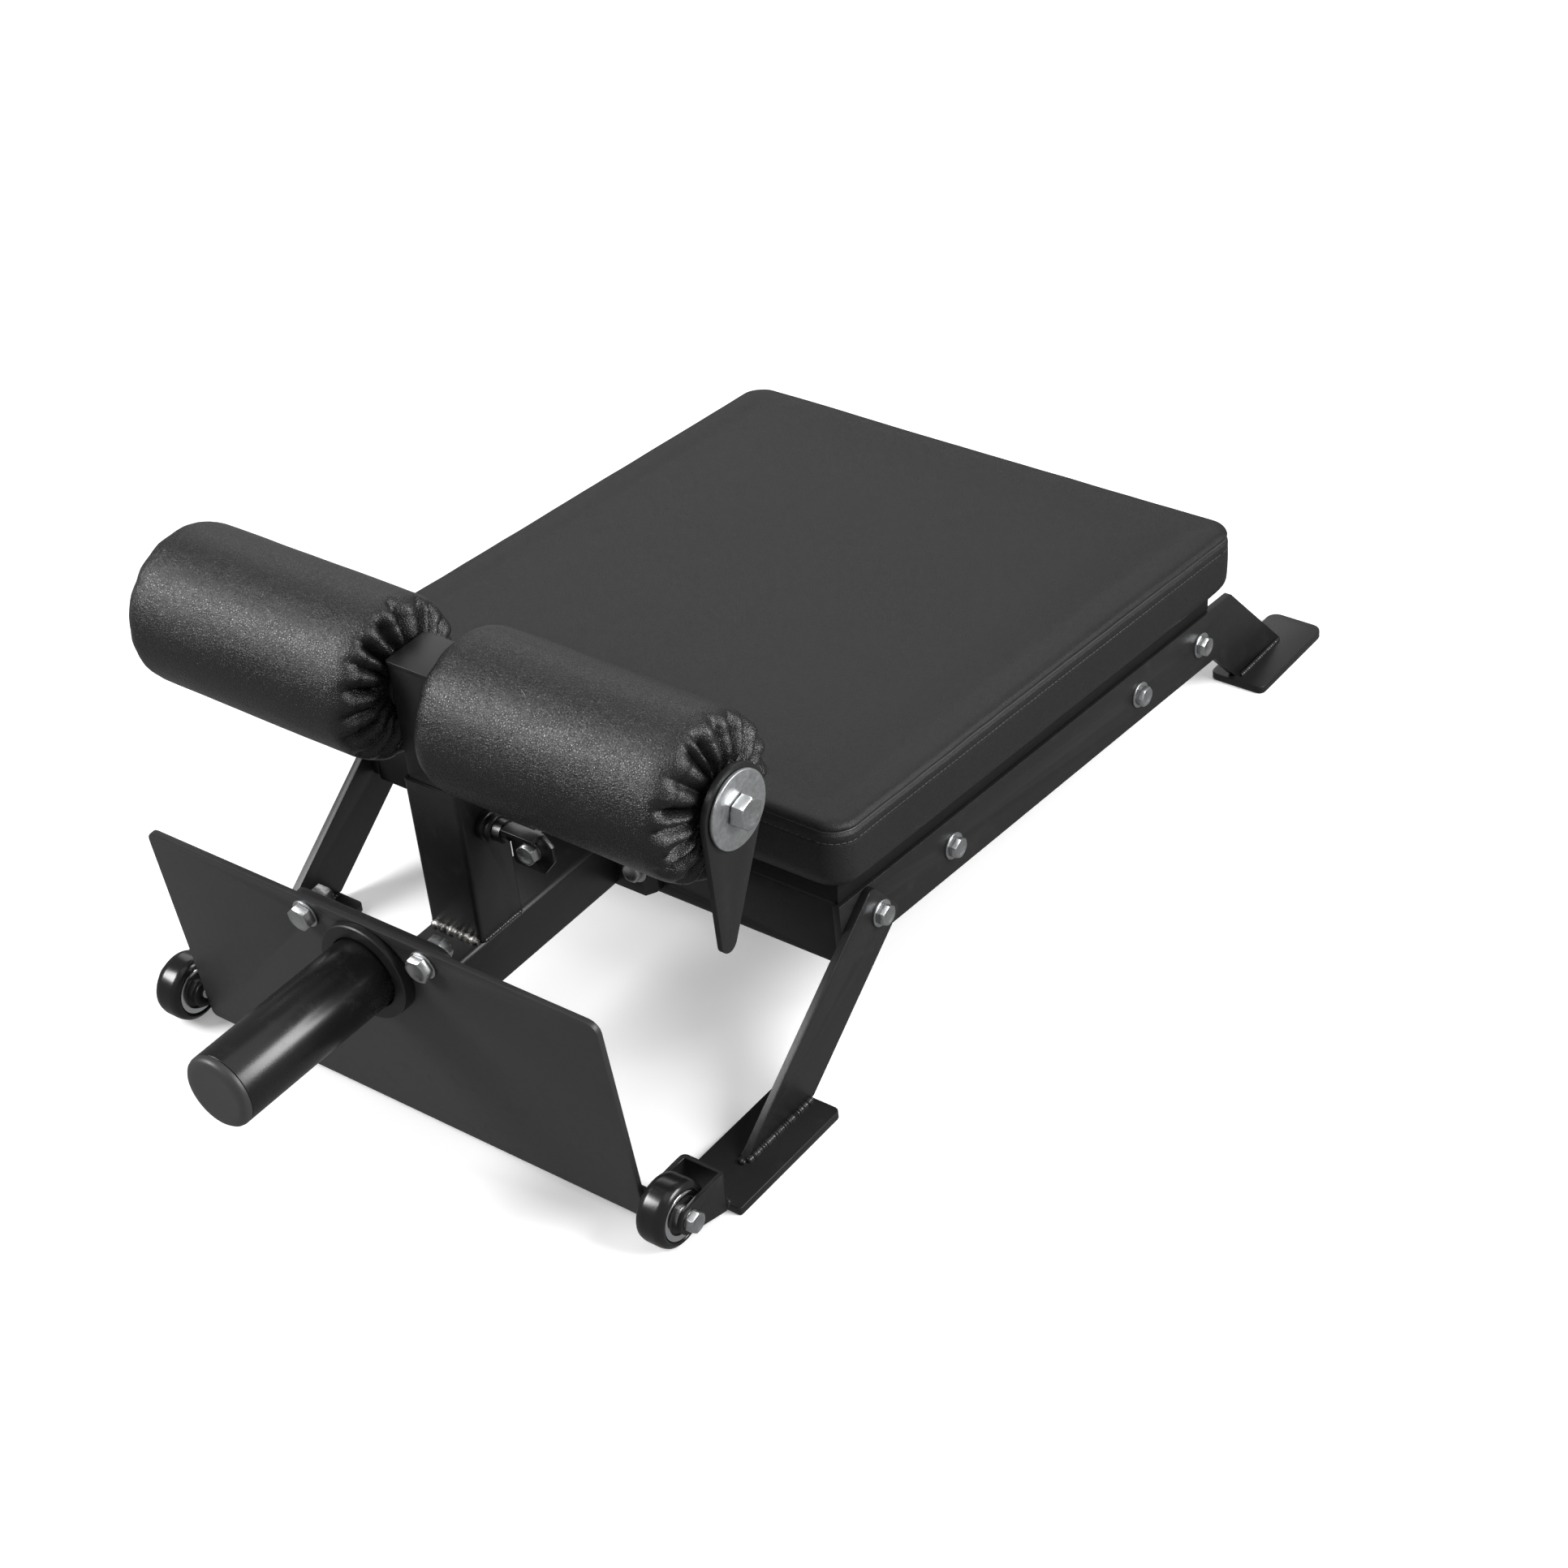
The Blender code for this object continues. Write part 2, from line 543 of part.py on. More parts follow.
for side, s in sides():
    at = (s * BEAM_BOLT_X, end_plate_u, BEAM_BOLT_N)
    bore(end_plate, "end_plate_hole_" + side, M8[4] + BOLT_CLEARANCE, 0.02, at, TO_FRONT, seat_datum)
    bore(cross, "cross_hole_" + side, M8[4] + BOLT_CLEARANCE, 0.02, at, TO_FRONT, seat_datum)
    fastener("beam_bolt_" + side, M8, 0.0180, at, TO_FRONT, seat_datum, turn=0.2)

flange_low = (beam_low - FOOT_PLATE_LOW) / math.cos(FOOT_LEAN) - 0.0040
flange_high = (FOOT_PLATE_HIGH - FOOT_PLATE_LOW) / math.cos(FOOT_LEAN) - 0.0020
flange = place(outline_mesh("beam_flange", [rounded(
    [(-0.0330, flange_low), (0.0330, flange_low), (0.0330, flange_low + 0.042), (FLANGE_WIDTH / 2.0, flange_high - 0.030),
     (FLANGE_WIDTH / 2.0, flange_high), (-FLANGE_WIDTH / 2.0, flange_high),
     (-FLANGE_WIDTH / 2.0, flange_high - 0.030), (-0.0330, flange_low + 0.042)],
    [0.004, 0.004, 0.006, 0.006, 0.010, 0.010, 0.006, 0.006], 3)], FLANGE_T), "beam_flange", "coat",
    (0.0, GAP + FLANGE_T / 2.0, 0.0), TO_FRONT, foot_datum)

beam_front = FOOT_PLATE_REAR - 0.030
beam = place(tube_mesh("main_beam", BEAM_WIDTH, BEAM_HEIGHT, END_PLATE_FRONT + 0.02 - beam_front), "main_beam",
             "coat", (0.0, (beam_front + END_PLATE_FRONT + 0.02) / 2.0, beam_mid), TO_FRONT)
front_trim = box("beam_front_trim", None, (-0.05, -0.10, -0.02), (0.05, 2.0 * GAP + FLANGE_T, 0.20), parent=foot_datum)
rear_trim = box("beam_rear_trim", None, (-0.05, end_plate_u - GAP, -0.10), (0.05, end_plate_u + 0.10, 0.10),
                parent=seat_datum)
cut(beam, front_trim)
cut(beam, rear_trim)

sleeve_low = BEAM_TOP + GAP
sleeve = place(tube_mesh("upright_sleeve", BEAM_WIDTH, SLEEVE_DEPTH, SLEEVE_TOP - sleeve_low), "upright_sleeve",
               "coat", (0.0, SLEEVE_DEPTH / 2.0, (sleeve_low + SLEEVE_TOP) / 2.0))
post_y = SLEEVE_DEPTH / 2.0
bore(sleeve, "sleeve_pin_hole", PIN_R + BOLT_CLEARANCE, 0.03, (BEAM_WIDTH / 2.0, post_y, PIN_Z), TO_RIGHT)

# ---------------------------------------------------------------- foot plate and weight peg
plate_high = (FOOT_PLATE_HIGH - FOOT_PLATE_LOW) / math.cos(FOOT_LEAN)
foot_plate = place(outline_mesh("foot_plate", [rounded(
    [(-FOOT_PLATE_HALF, 0.0), (FOOT_PLATE_HALF, 0.0), (FOOT_PLATE_HALF, plate_high), (-FOOT_PLATE_HALF, plate_high)],
    [0.004, 0.004, 0.008, 0.008], 4)], FOOT_PLATE_T), "foot_plate", "coat",
    (0.0, -FOOT_PLATE_T / 2.0, 0.0), TO_FRONT, foot_datum)
bolt_high = (FOOT_BOLT_Z - FOOT_PLATE_LOW) / math.cos(FOOT_LEAN)
for side, s in sides():
    at = (s * FOOT_BOLT_X, -FOOT_PLATE_T, bolt_high)
    bore(foot_plate, "foot_plate_hole_" + side, M10[4] + BOLT_CLEARANCE, 0.03, at, TO_FRONT, foot_datum)
    bore(flange, "flange_hole_" + side, M10[4] + BOLT_CLEARANCE, 0.04, at, TO_FRONT, foot_datum)
    fastener("foot_plate_bolt_" + side, M10, 0.0210, at, TO_FRONT, foot_datum, turn=0.5,
             nut={"at": -(FOOT_PLATE_T + FLANGE_T + 2.0 * GAP)})

collar_back = FOOT_PLATE_FRONT + 0.02
collar = place(turned_mesh("peg_collar", [(PEG_R + GAP, 0.0), (COLLAR_R - 0.0008, 0.0), (COLLAR_R, -0.0008),
                                          (COLLAR_R, COLLAR_FRONT - collar_back), (PEG_R + GAP, COLLAR_FRONT - collar_back)],
                           48, True), "peg_collar", "coat", (0.0, COLLAR_FRONT, PEG_Z), TO_FRONT)
collar_trim = box("collar_trim", None, (-0.08, -FOOT_PLATE_T - GAP, -0.05), (0.08, 0.08, 0.25), parent=foot_datum)
cut(collar, collar_trim)
smooth_round(collar)
CAP_DEPTH = 0.0060
PEG_CAP_LIP = 0.0120
peg_tube_front = PEG_FRONT + CAP_DEPTH
peg_back_lean = math.tan(FOOT_LEAN) * (PEG_Z + PEG_R - FOOT_PLATE_LOW)
peg_back = FOOT_PLATE_FRONT - peg_back_lean - GAP
peg_length = peg_back - peg_tube_front
peg = lathe("weight_peg", "coat", [(PEG_R - PEG_WALL, 0.0), (PEG_R, 0.0), (PEG_R, -peg_length),
                                   (PEG_R - PEG_WALL, -peg_length)], 48, (0.0, peg_tube_front, PEG_Z), TO_FRONT, True)
smooth_round(peg)
inner = PEG_R - PEG_WALL - GAP
cap = lathe("peg_end_cap", "plastic", [(0.0, CAP_DEPTH), (PEG_R - 0.0040, CAP_DEPTH), (PEG_R - 0.0012, CAP_DEPTH - 0.0012),
                                       (PEG_R, CAP_DEPTH - 0.0040), (PEG_R, GAP), (inner, GAP), (inner, -PEG_CAP_LIP),
                                       (0.0, -PEG_CAP_LIP)], 48, (0.0, peg_tube_front, PEG_Z), TO_FRONT)
smooth_round(cap)

# ---------------------------------------------------------------- telescoping post with its roller axle
slide_gap = 0.0003
post_width = BEAM_WIDTH - 2.0 * (TUBE_WALL + slide_gap)
post_depth = SLEEVE_DEPTH - 2.0 * (TUBE_WALL + slide_gap)
post_low = BEAM_TOP + POST_STOP
outer = rectangle(post_width / 2.0, post_depth / 2.0, 0.0012, 2)
hollow = rectangle(post_width / 2.0 - 0.0030, post_depth / 2.0 - 0.0030, 0.0)
post = place(outline_mesh("post", [outer, hollow], POST_TOP - post_low), "post", "coat",
             (0.0, post_y, (post_low + POST_TOP) / 2.0))
bore(post, "post_axle_bore", AXLE_R + GAP, 0.08, (0.0, post_y, AXIS_Z), TO_RIGHT, segments=32)
for index in range(int(round(POST_TRAVEL / INDEX_PITCH)) + 1):
    bore(post, "index_hole_%d" % (index + 1), PIN_R + BOLT_CLEARANCE, 0.012,
         (post_width / 2.0, post_y, PIN_Z - INDEX_PITCH * index), TO_RIGHT)
cap_half_x = post_width / 2.0 + CAP_OVERHANG
cap_half_y = post_depth / 2.0 + CAP_OVERHANG
post_cap = place(outline_mesh("post_cap", [rectangle(cap_half_x, cap_half_y, 0.002, 3)], CAP_T), "post_cap", "coat",
                 (0.0, post_y, POST_TOP + GAP + CAP_T / 2.0))
bevel(post_cap, 0.0006, 1)

lever_in = ROLLER_END + LEVER_SPACE
lever_out = lever_in + LEVER_T
axle_half = lever_out + 0.0002
washer_in = axle_half + GAP
washer_out = washer_in + WASHER_T
THREAD_DEPTH = 0.0260
core_r = AXLE_R + RUNNING + CORE_WALL
axle = place(cylinder_mesh("roller_axle", AXLE_R, 2.0 * axle_half, 32), "roller_axle", "steel",
             (0.0, post_y, AXIS_Z), TO_RIGHT)
smooth_round(axle)
pad_in = cap_half_x + 0.0010
pad_mid = (pad_in + ROLLER_END) / 2.0
pad_half = (ROLLER_END - pad_in) / 2.0
core_out = pad_half + LEVER_SPACE - GAP
for side, s in sides():
    outward = TO_RIGHT if s > 0 else TO_LEFT
    bore(axle, "axle_thread_" + side, AXLE_BOLT_SHANK + BOLT_CLEARANCE, THREAD_DEPTH,
         (s * (axle_half - THREAD_DEPTH / 2.0 + 0.0010), post_y, AXIS_Z), TO_RIGHT)
    core = lathe("roller_core_" + side, "plastic",
                 [(AXLE_R + RUNNING, core_out), (core_r, core_out),
                  (core_r, -pad_half + 0.0005), (AXLE_R + RUNNING, -pad_half + 0.0005)],
                 32, (s * pad_mid, post_y, AXIS_Z), outward, True)
    smooth_round(core)
    turn_in = [(ROLLER_R - ROLLER_ROUND + ROLLER_ROUND * math.sin(math.radians(a)),
                pad_half - ROLLER_ROUND + ROLLER_ROUND * math.cos(math.radians(a))) for a in range(0, 91, 30)]
    pad_profile = ([(core_r + GAP, pad_half)] + turn_in
                   + [(r, -z) for r, z in reversed(turn_in)] + [(core_r + GAP, -pad_half)])
    pad = lathe("roller_pad_" + side, "leather", pad_profile, 48, (s * pad_mid, post_y, AXIS_Z), outward, True)
    smooth_round(pad)
    washer = lathe("axle_washer_" + side, "zinc",
                   [(AXLE_BOLT_SHANK + BOLT_CLEARANCE, WASHER_T), (WASHER_R, WASHER_T), (WASHER_R, 0.0),
                    (AXLE_BOLT_SHANK + BOLT_CLEARANCE, 0.0)], 48,
                   (s * washer_in, post_y, AXIS_Z), outward, True)
    smooth_round(washer)
    shank = [(0.0, 0.0050), (AXLE_BOLT_SHANK, 0.0050), (AXLE_BOLT_SHANK, -0.0220), (0.0, -0.0220)]
    bolt = place(turned_mesh("axle_bolt_" + side, shank, 24), "axle_bolt_" + side, "zinc",
                 (s * (washer_out + GAP), post_y, AXIS_Z), outward)
    head = place(hexagon_mesh("axle_head_" + side, M12[0], M12[1]), "axle_head_" + side, None,
                 (0.0, 0.0, M12[1] / 2.0), (0.0, 0.0, 0.25), bolt)
    combine(bolt, head, "UNION")

# Release lever: a round boss and a tapering arm, hanging slightly forward.
spread = math.asin((LEVER_BOSS_R - LEVER_TIP_R) / LEVER_REACH)
boss_arc = [(LEVER_BOSS_R * math.cos(a), LEVER_BOSS_R * math.sin(a))
            for a in [-spread + (math.pi + 2.0 * spread) * k / 24 for k in range(25)]]
tip_arc = [(LEVER_TIP_R * math.cos(a), -LEVER_REACH + LEVER_TIP_R * math.sin(a))
           for a in [math.pi + spread + (math.pi - 2.0 * spread) * k / 10 for k in range(11)]]
hang = Matrix.Rotation(-LEVER_LEAN, 2)
lever_loop = [tuple(hang @ Vector(point)) for point in boss_arc + tip_arc]
lever = place(outline_mesh("release_lever", [lever_loop], LEVER_T), "release_lever", "coat",
              ((lever_in + lever_out) / 2.0, post_y, AXIS_Z), SIDE_PLANE)
bore(lever, "lever_bore", AXLE_R + RUNNING, 0.02, ((lever_in + lever_out) / 2.0, post_y, AXIS_Z), TO_RIGHT,
     segments=32)
bevel(lever, 0.0008, 1)
end_collar = lathe("end_collar", "coat",
                   [(AXLE_R + GAP, LEVER_T / 2.0), (LEVER_BOSS_R, LEVER_T / 2.0), (LEVER_BOSS_R, -LEVER_T / 2.0),
                    (AXLE_R + GAP, -LEVER_T / 2.0)], 48,
                   (-(lever_in + lever_out) / 2.0, post_y, AXIS_Z), TO_LEFT, True)
smooth_round(end_collar)

# ---------------------------------------------------------------- spring pull-pin on the upright
HOUSING_R = 0.0100
HOUSING_LENGTH = 0.0110
PIN_COLLAR_R = 0.0075
PIN_TRAVEL = 0.0100               # the tab stands this far clear of the housing
housing_in = BEAM_WIDTH / 2.0 + GAP
housing = lathe("pin_housing", "plastic",
                [(PIN_R + RUNNING, HOUSING_LENGTH), (HOUSING_R - 0.0015, HOUSING_LENGTH),
                 (HOUSING_R, HOUSING_LENGTH - 0.0015), (HOUSING_R, 0.0), (PIN_R + RUNNING, 0.0)],
                32, (housing_in, post_y, PIN_Z), TO_RIGHT, True)
smooth_round(housing)
pin_nose = post_width / 2.0 + GAP
collar_at = housing_in + HOUSING_LENGTH + GAP
TAB_LEFT = collar_at + PIN_TRAVEL + GAP
TAB_RIGHT = TAB_LEFT + 0.0340
TAB_HIGH = 0.0095
TAB_LOW = -0.0205
TAB_T = 0.0030
pin_end = TAB_LEFT - GAP
pin_profile = [(0.0, pin_end), (PIN_R, pin_end), (PIN_R, collar_at + 0.0060), (PIN_COLLAR_R, collar_at + 0.0060),
               (PIN_COLLAR_R, collar_at), (PIN_R, collar_at), (PIN_R, pin_nose + 0.0010),
               (PIN_R - 0.0010, pin_nose), (0.0, pin_nose)]
pull_pin = lathe("pull_pin", "zinc", pin_profile, 24, (0.0, post_y, PIN_Z), TO_RIGHT)
smooth_round(pull_pin)
tab_loop = rounded([(TAB_LEFT, TAB_LOW), (TAB_RIGHT - 0.009, TAB_LOW), (TAB_RIGHT, TAB_LOW + 0.012),
                    (TAB_RIGHT, TAB_HIGH - 0.007), (TAB_RIGHT - 0.007, TAB_HIGH), (TAB_LEFT, TAB_HIGH)],
                   [0.003, 0.001, 0.001, 0.001, 0.001, 0.001], 2)
tab = place(outline_mesh("pin_tab", [tab_loop], TAB_T), "pin_tab", "zinc", (0.0, post_y, PIN_Z), TO_FRONT)
lip = box("pin_tab_lip", None, (TAB_LEFT, post_y - 0.0090, PIN_Z + TAB_HIGH - TAB_T),
          (TAB_RIGHT - 0.0090, post_y, PIN_Z + TAB_HIGH))
combine(tab, lip, "UNION")
nut_x = TAB_LEFT + 0.0170
nut_z = PIN_Z + (TAB_HIGH + TAB_LOW) / 2.0 + 0.0005
bore(tab, "tab_bore", 0.0040 + BOLT_CLEARANCE, 0.02, (nut_x, post_y, nut_z), TO_FRONT)
fastener("pin_nut", (0.0130, 0.0065, 0.0072, 0.0008, 0.0040), TAB_T + 0.0030,
         (nut_x, post_y - TAB_T / 2.0, nut_z), TO_FRONT, turn=0.1)

# ---------------------------------------------------------------- seat
board_low = BAR / 2.0 + GAP
box("seat_board", "wood",
    (-CUSHION_HALF + BOARD_INSET, CUSHION_FRONT + BOARD_INSET, board_low),
    (CUSHION_HALF - BOARD_INSET, CUSHION_FRONT + CUSHION_LENGTH - BOARD_INSET, board_low + BOARD_T),
    parent=seat_datum)
cushion_low = board_low + BOARD_T + GAP
cushion = place(outline_mesh("seat_cushion", [rectangle(CUSHION_HALF, CUSHION_LENGTH / 2.0, CUSHION_CORNER, 5)],
                             CUSHION_T), "seat_cushion", "leather",
                (0.0, CUSHION_FRONT + CUSHION_LENGTH / 2.0, cushion_low + CUSHION_T / 2.0), parent=seat_datum)
bevel(cushion, CUSHION_ROUND, 3, 60.0)
smooth_round(cushion, 40.0)
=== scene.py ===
import json
import math
import random

import bmesh
import bpy
from mathutils import Matrix, Vector, noise
from mathutils.bvhtree import BVHTree

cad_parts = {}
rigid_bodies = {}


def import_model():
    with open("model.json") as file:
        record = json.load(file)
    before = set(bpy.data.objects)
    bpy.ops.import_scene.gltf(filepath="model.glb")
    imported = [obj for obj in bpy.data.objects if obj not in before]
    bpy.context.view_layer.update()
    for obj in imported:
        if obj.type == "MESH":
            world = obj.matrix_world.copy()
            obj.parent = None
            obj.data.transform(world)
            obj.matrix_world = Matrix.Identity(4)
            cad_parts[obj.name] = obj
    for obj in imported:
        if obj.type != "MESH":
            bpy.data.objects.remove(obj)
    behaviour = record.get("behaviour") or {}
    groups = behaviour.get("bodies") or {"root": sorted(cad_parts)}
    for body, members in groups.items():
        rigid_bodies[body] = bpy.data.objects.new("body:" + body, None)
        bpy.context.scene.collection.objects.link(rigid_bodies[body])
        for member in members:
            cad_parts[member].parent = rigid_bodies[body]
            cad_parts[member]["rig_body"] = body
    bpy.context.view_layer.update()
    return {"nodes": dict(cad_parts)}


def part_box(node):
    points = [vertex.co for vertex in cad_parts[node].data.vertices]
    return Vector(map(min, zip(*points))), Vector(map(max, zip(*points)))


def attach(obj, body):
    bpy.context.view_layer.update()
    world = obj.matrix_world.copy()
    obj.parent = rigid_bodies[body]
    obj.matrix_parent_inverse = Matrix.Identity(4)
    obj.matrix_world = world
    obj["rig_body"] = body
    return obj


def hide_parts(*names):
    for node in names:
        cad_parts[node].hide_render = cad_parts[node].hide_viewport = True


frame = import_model()
nodes = frame["nodes"]

TAU = 2.0 * math.pi
SIDES = (("right", 1.0), ("left", -1.0))
DECLINE = math.radians(5.3)        # the seat falls this much towards the rear
FOOT_LEAN = math.radians(5.6)      # the foot plate leans forward this much at the top
WORLD_LIGHT = 0.26                 # even light from all round
FLOOR_GLOW = 0.26                  # the floor's own light, which keeps its shadows pale
MERGE = 0.000005                   # points closer together than this are one point
UP = Vector((0.0, 0.0, 1.0))
RIGHTWARD = Vector((1.0, 0.0, 0.0))
FORWARD = Vector((0.0, -1.0, 0.0))
PLATE_OUT = Vector((0.0, -math.cos(FOOT_LEAN), -math.sin(FOOT_LEAN)))
SEAT_FRONT = Vector((0.0, -math.cos(DECLINE), math.sin(DECLINE)))


def new_object(name, data):
    made = bpy.data.objects.new(name, data)
    bpy.context.scene.collection.objects.link(made)
    return made


# ---------------------------------------------------------------- camera and light
lens = bpy.data.cameras.new("studio_camera")
lens.lens = 75.59
lens.sensor_width = 36.0
lens.clip_start = 0.05
lens.clip_end = 50.0
camera = new_object("studio_camera", lens)
camera.matrix_world = Matrix((
    (0.799684, -0.298848, 0.520764, 1.227512),
    (0.593856, 0.521584, -0.612605, -1.354462),
    (-0.088547, 0.799150, 0.594575, 1.414786),
    (0.0, 0.0, 0.0, 1.0)))
bpy.context.scene.camera = camera

def softbox(name, place, target, size, power):
    """A rectangular lamp, aimed from its place at its target."""
    lamp = bpy.data.lights.new(name, "AREA")
    lamp.shape = "RECTANGLE"
    lamp.size, lamp.size_y = size
    lamp.energy = power
    box = new_object(name, lamp)
    box.location = place
    box.rotation_mode = "QUATERNION"
    box.rotation_quaternion = (Vector(target) - Vector(place)).to_track_quat("-Z", "Y")


softbox("softbox_left", (-2.1, -2.0, 2.2), (0.0, -0.1, 0.1), (1.3, 1.3), 122.0)
softbox("softbox_rear", (-1.9, 2.4, 2.0), (0.0, 0.1, 0.1), (2.4, 1.8), 21.0)
softbox("softbox_right", (2.35, 0.6, 1.65), (0.0, 0.0, 0.1), (1.5, 1.5), 104.0)
softbox("softbox_top", (0.5, -0.2, 3.4), (0.0, 0.0, 0.1), (2.6, 2.6), 16.0)

world = bpy.data.worlds.new("studio")
world.use_nodes = True
world.node_tree.nodes["Background"].inputs["Color"].default_value = (1.0, 1.0, 1.0, 1.0)
world.node_tree.nodes["Background"].inputs["Strength"].default_value = WORLD_LIGHT
bpy.context.scene.world = world
bpy.context.scene.view_settings.view_transform = "Standard"


# ---------------------------------------------------------------- shader maths
class Signal:
    """One output of a shader node. Arithmetic on it adds Math nodes."""

    def __init__(self, finish, socket):
        self.finish = finish
        self.socket = socket

    def maths(self, operation, *values):
        return self.finish.node("ShaderNodeMath", {"operation": operation}, dict(enumerate(values)))

    def __add__(self, other):
        return self.maths("ADD", self, other)

    __radd__ = __add__

    def __mul__(self, other):
        return self.maths("MULTIPLY", self, other)

    __rmul__ = __mul__

    def __sub__(self, other):
        return self.maths("SUBTRACT", self, other)

    def __rsub__(self, other):
        return self.maths("SUBTRACT", other, self)

    def lift(self, low, high):
        """0 below low, 1 above high and a smooth rise between."""
        return self.finish.node("ShaderNodeMapRange", {"interpolation_type": "SMOOTHSTEP"},
                                {"Value": self, "From Min": low, "From Max": high})


class Finish:
    """A material built up by expressions on its signals."""

    def __init__(self, name, **fixed):
        self.material = bpy.data.materials.new(name)
        self.material.use_nodes = True
        self.tree = self.material.node_tree
        self.shader = self.tree.nodes["Principled BSDF"]
        for socket, value in fixed.items():
            self.shader.inputs[socket.replace("_", " ")].default_value = value
        self.place = self.node("ShaderNodeTexCoord", out="Object")

    def node(self, kind, settings=None, sockets=None, out=0):
        made = self.tree.nodes.new(kind)
        for key, value in (settings or {}).items():
            setattr(made, key, value)
        for key, value in (sockets or {}).items():
            if isinstance(value, Signal):
                self.tree.links.new(value.socket, made.inputs[key])
            else:
                made.inputs[key].default_value = value
        return Signal(self, made.outputs[out])

    def clouds(self, scale, detail=2.0, rough=0.5, at=None, out="Fac"):
        sockets = {"Vector": at or self.place, "Scale": scale, "Detail": detail, "Roughness": rough}
        return self.node("ShaderNodeTexNoise", {}, sockets, out)

    def cells(self, scale, feature="F1", at=None, out="Distance"):
        sockets = {"Vector": at or self.place, "Scale": scale}
        return self.node("ShaderNodeTexVoronoi", {"feature": feature}, sockets, out)

    def stretched(self, scale):
        """The piece's own coordinates, scaled by a different amount along each axis."""
        return self.node("ShaderNodeMapping", {}, {"Vector": self.place, "Scale": scale})

    def shifted(self, scale, amount):
        """The piece's own coordinates, pushed about by soft noise so that a pattern isn't regular."""
        push = self.clouds(scale, out="Color")
        centred = self.node("ShaderNodeVectorMath", {"operation": "SUBTRACT"}, {0: push, 1: (0.5, 0.5, 0.5)})
        sized = self.node("ShaderNodeVectorMath", {"operation": "MULTIPLY"}, {0: centred, 1: (amount,) * 3})
        return self.node("ShaderNodeVectorMath", {"operation": "ADD"}, {0: self.place, 1: sized})

    def blend(self, low, high, share):
        low, high = [v if isinstance(v, Signal) else (*v, 1.0) for v in (low, high)]
        return self.node("ShaderNodeMix", {"data_type": "RGBA"}, {0: share, 6: low, 7: high}, out=2)

    def drive(self, socket, signal):
        self.tree.links.new(signal.socket, self.shader.inputs[socket])

    def relief(self, height, depth):
        """Surface relief, with height running from 0 to 1 over a depth in metres."""
        sockets = {"Height": height, "Distance": depth, "Strength": 1.0}
        self.drive("Normal", self.node("ShaderNodeBump", {}, sockets))


# ---------------------------------------------------------------- finishes
def powder_coat(name, dark=0.0058, light=0.0098, rough=0.34, grain_depth=0.00006):
    """Black powder coat: fine orange peel, slow changes of gloss and a little settled dust."""
    coat = Finish(name, Specular_IOR_Level=0.5)
    slow = coat.clouds(11.0, 3.0)
    peel = coat.clouds(900.0, 1.0)
    speck = coat.cells(420.0).lift(0.10, 0.04)
    dust = coat.clouds(60.0, 4.0, 0.65).lift(0.52, 0.78)
    base = coat.blend((dark, dark, dark * 1.03), (light, light, light * 1.02), slow)
    dusty = coat.blend(base, (0.022, 0.022, 0.021), dust * 0.30)
    coat.drive("Base Color", coat.blend(dusty, (0.06, 0.06, 0.06), speck * dust * 0.5))
    coat.drive("Roughness", rough + slow * 0.10 + dust * 0.07 + peel * 0.04)
    coat.relief(peel * 0.8 + slow * 0.2, grain_depth)
    return coat.material


def grained_leather(name, pebble, depth, dark, light, rough, gloss=0.5):
    """Black synthetic leather: pebble grain between fine creases, with broad soft changes of tone and painted
    shade darkening the creases.
    """
    hide = Finish(name, Specular_IOR_Level=gloss)
    drift = hide.shifted(0.7 / pebble, pebble * 0.55)
    edge = hide.cells(1.0 / pebble, "DISTANCE_TO_EDGE", drift)
    pebble_rise_and_crease_shade = edge.lift(0.0, 0.26)
    small = hide.cells(2.3 / pebble, "DISTANCE_TO_EDGE", drift).lift(0.0, 0.22)
    pores = hide.clouds(3400.0, 1.0)
    slow = hide.clouds(14.0, 3.0, 0.6)
    height = pebble_rise_and_crease_shade * 0.62 + small * 0.25 + pores * 0.13
    # The tone is painted darker in the creases, as shade, and lighter on the pebble tops, over broad random
    # changes.
    tone = hide.blend((dark, dark, dark), (light, light, light), slow * 0.6 + pebble_rise_and_crease_shade * 0.4)
    hide.drive("Base Color", tone)
    hide.drive("Roughness", rough + slow * 0.10 - pebble_rise_and_crease_shade * 0.07 + pores * 0.05)
    hide.relief(height, depth)
    return hide.material


def zinc_plate(name, tint=(0.66, 0.67, 0.68), rough=0.24):
    """Bright zinc plating with faint crystals, handling marks and slightly dull patches."""
    plate = Finish(name, Metallic=1.0)
    crystal = plate.cells(520.0, out="Color")
    grey = plate.node("ShaderNodeRGBToBW", {}, {0: crystal})
    slow = plate.clouds(160.0, 4.0, 0.6)
    scratch = plate.clouds(90.0, 5.0, 0.7, plate.stretched((1.0, 9.0, 9.0))).lift(0.50, 0.62)
    dull = tuple(v * 0.62 for v in tint)
    plate.drive("Base Color", plate.blend(dull, tint, slow * 0.7 + grey * 0.3))
    plate.drive("Roughness", rough + slow * 0.16 + grey * 0.06 + scratch * 0.08)
    plate.relief(slow * 0.6 + grey * 0.2 + scratch * 0.2, 0.00004)
    return plate.material


def bright_chrome(name):
    ring = Finish(name, Metallic=1.0)
    turned = ring.clouds(40.0, 4.0, 0.6, ring.stretched((60.0, 4.0, 4.0)))
    ring.drive("Base Color", ring.blend((0.62, 0.63, 0.65), (0.82, 0.83, 0.84), turned))
    ring.drive("Roughness", 0.10 + turned * 0.14)
    ring.relief(turned, 0.00002)
    return ring.material


def turned_steel(name, dark=0.26, light=0.48):
    rod = Finish(name, Metallic=1.0)
    lines = rod.clouds(70.0, 5.0, 0.7, rod.stretched((30.0, 2.0, 2.0)))
    rod.drive("Base Color", rod.blend((dark, dark, dark * 1.03), (light, light, light * 1.02), lines))
    rod.drive("Roughness", 0.26 + lines * 0.22)
    rod.relief(lines, 0.00003)
    return rod.material


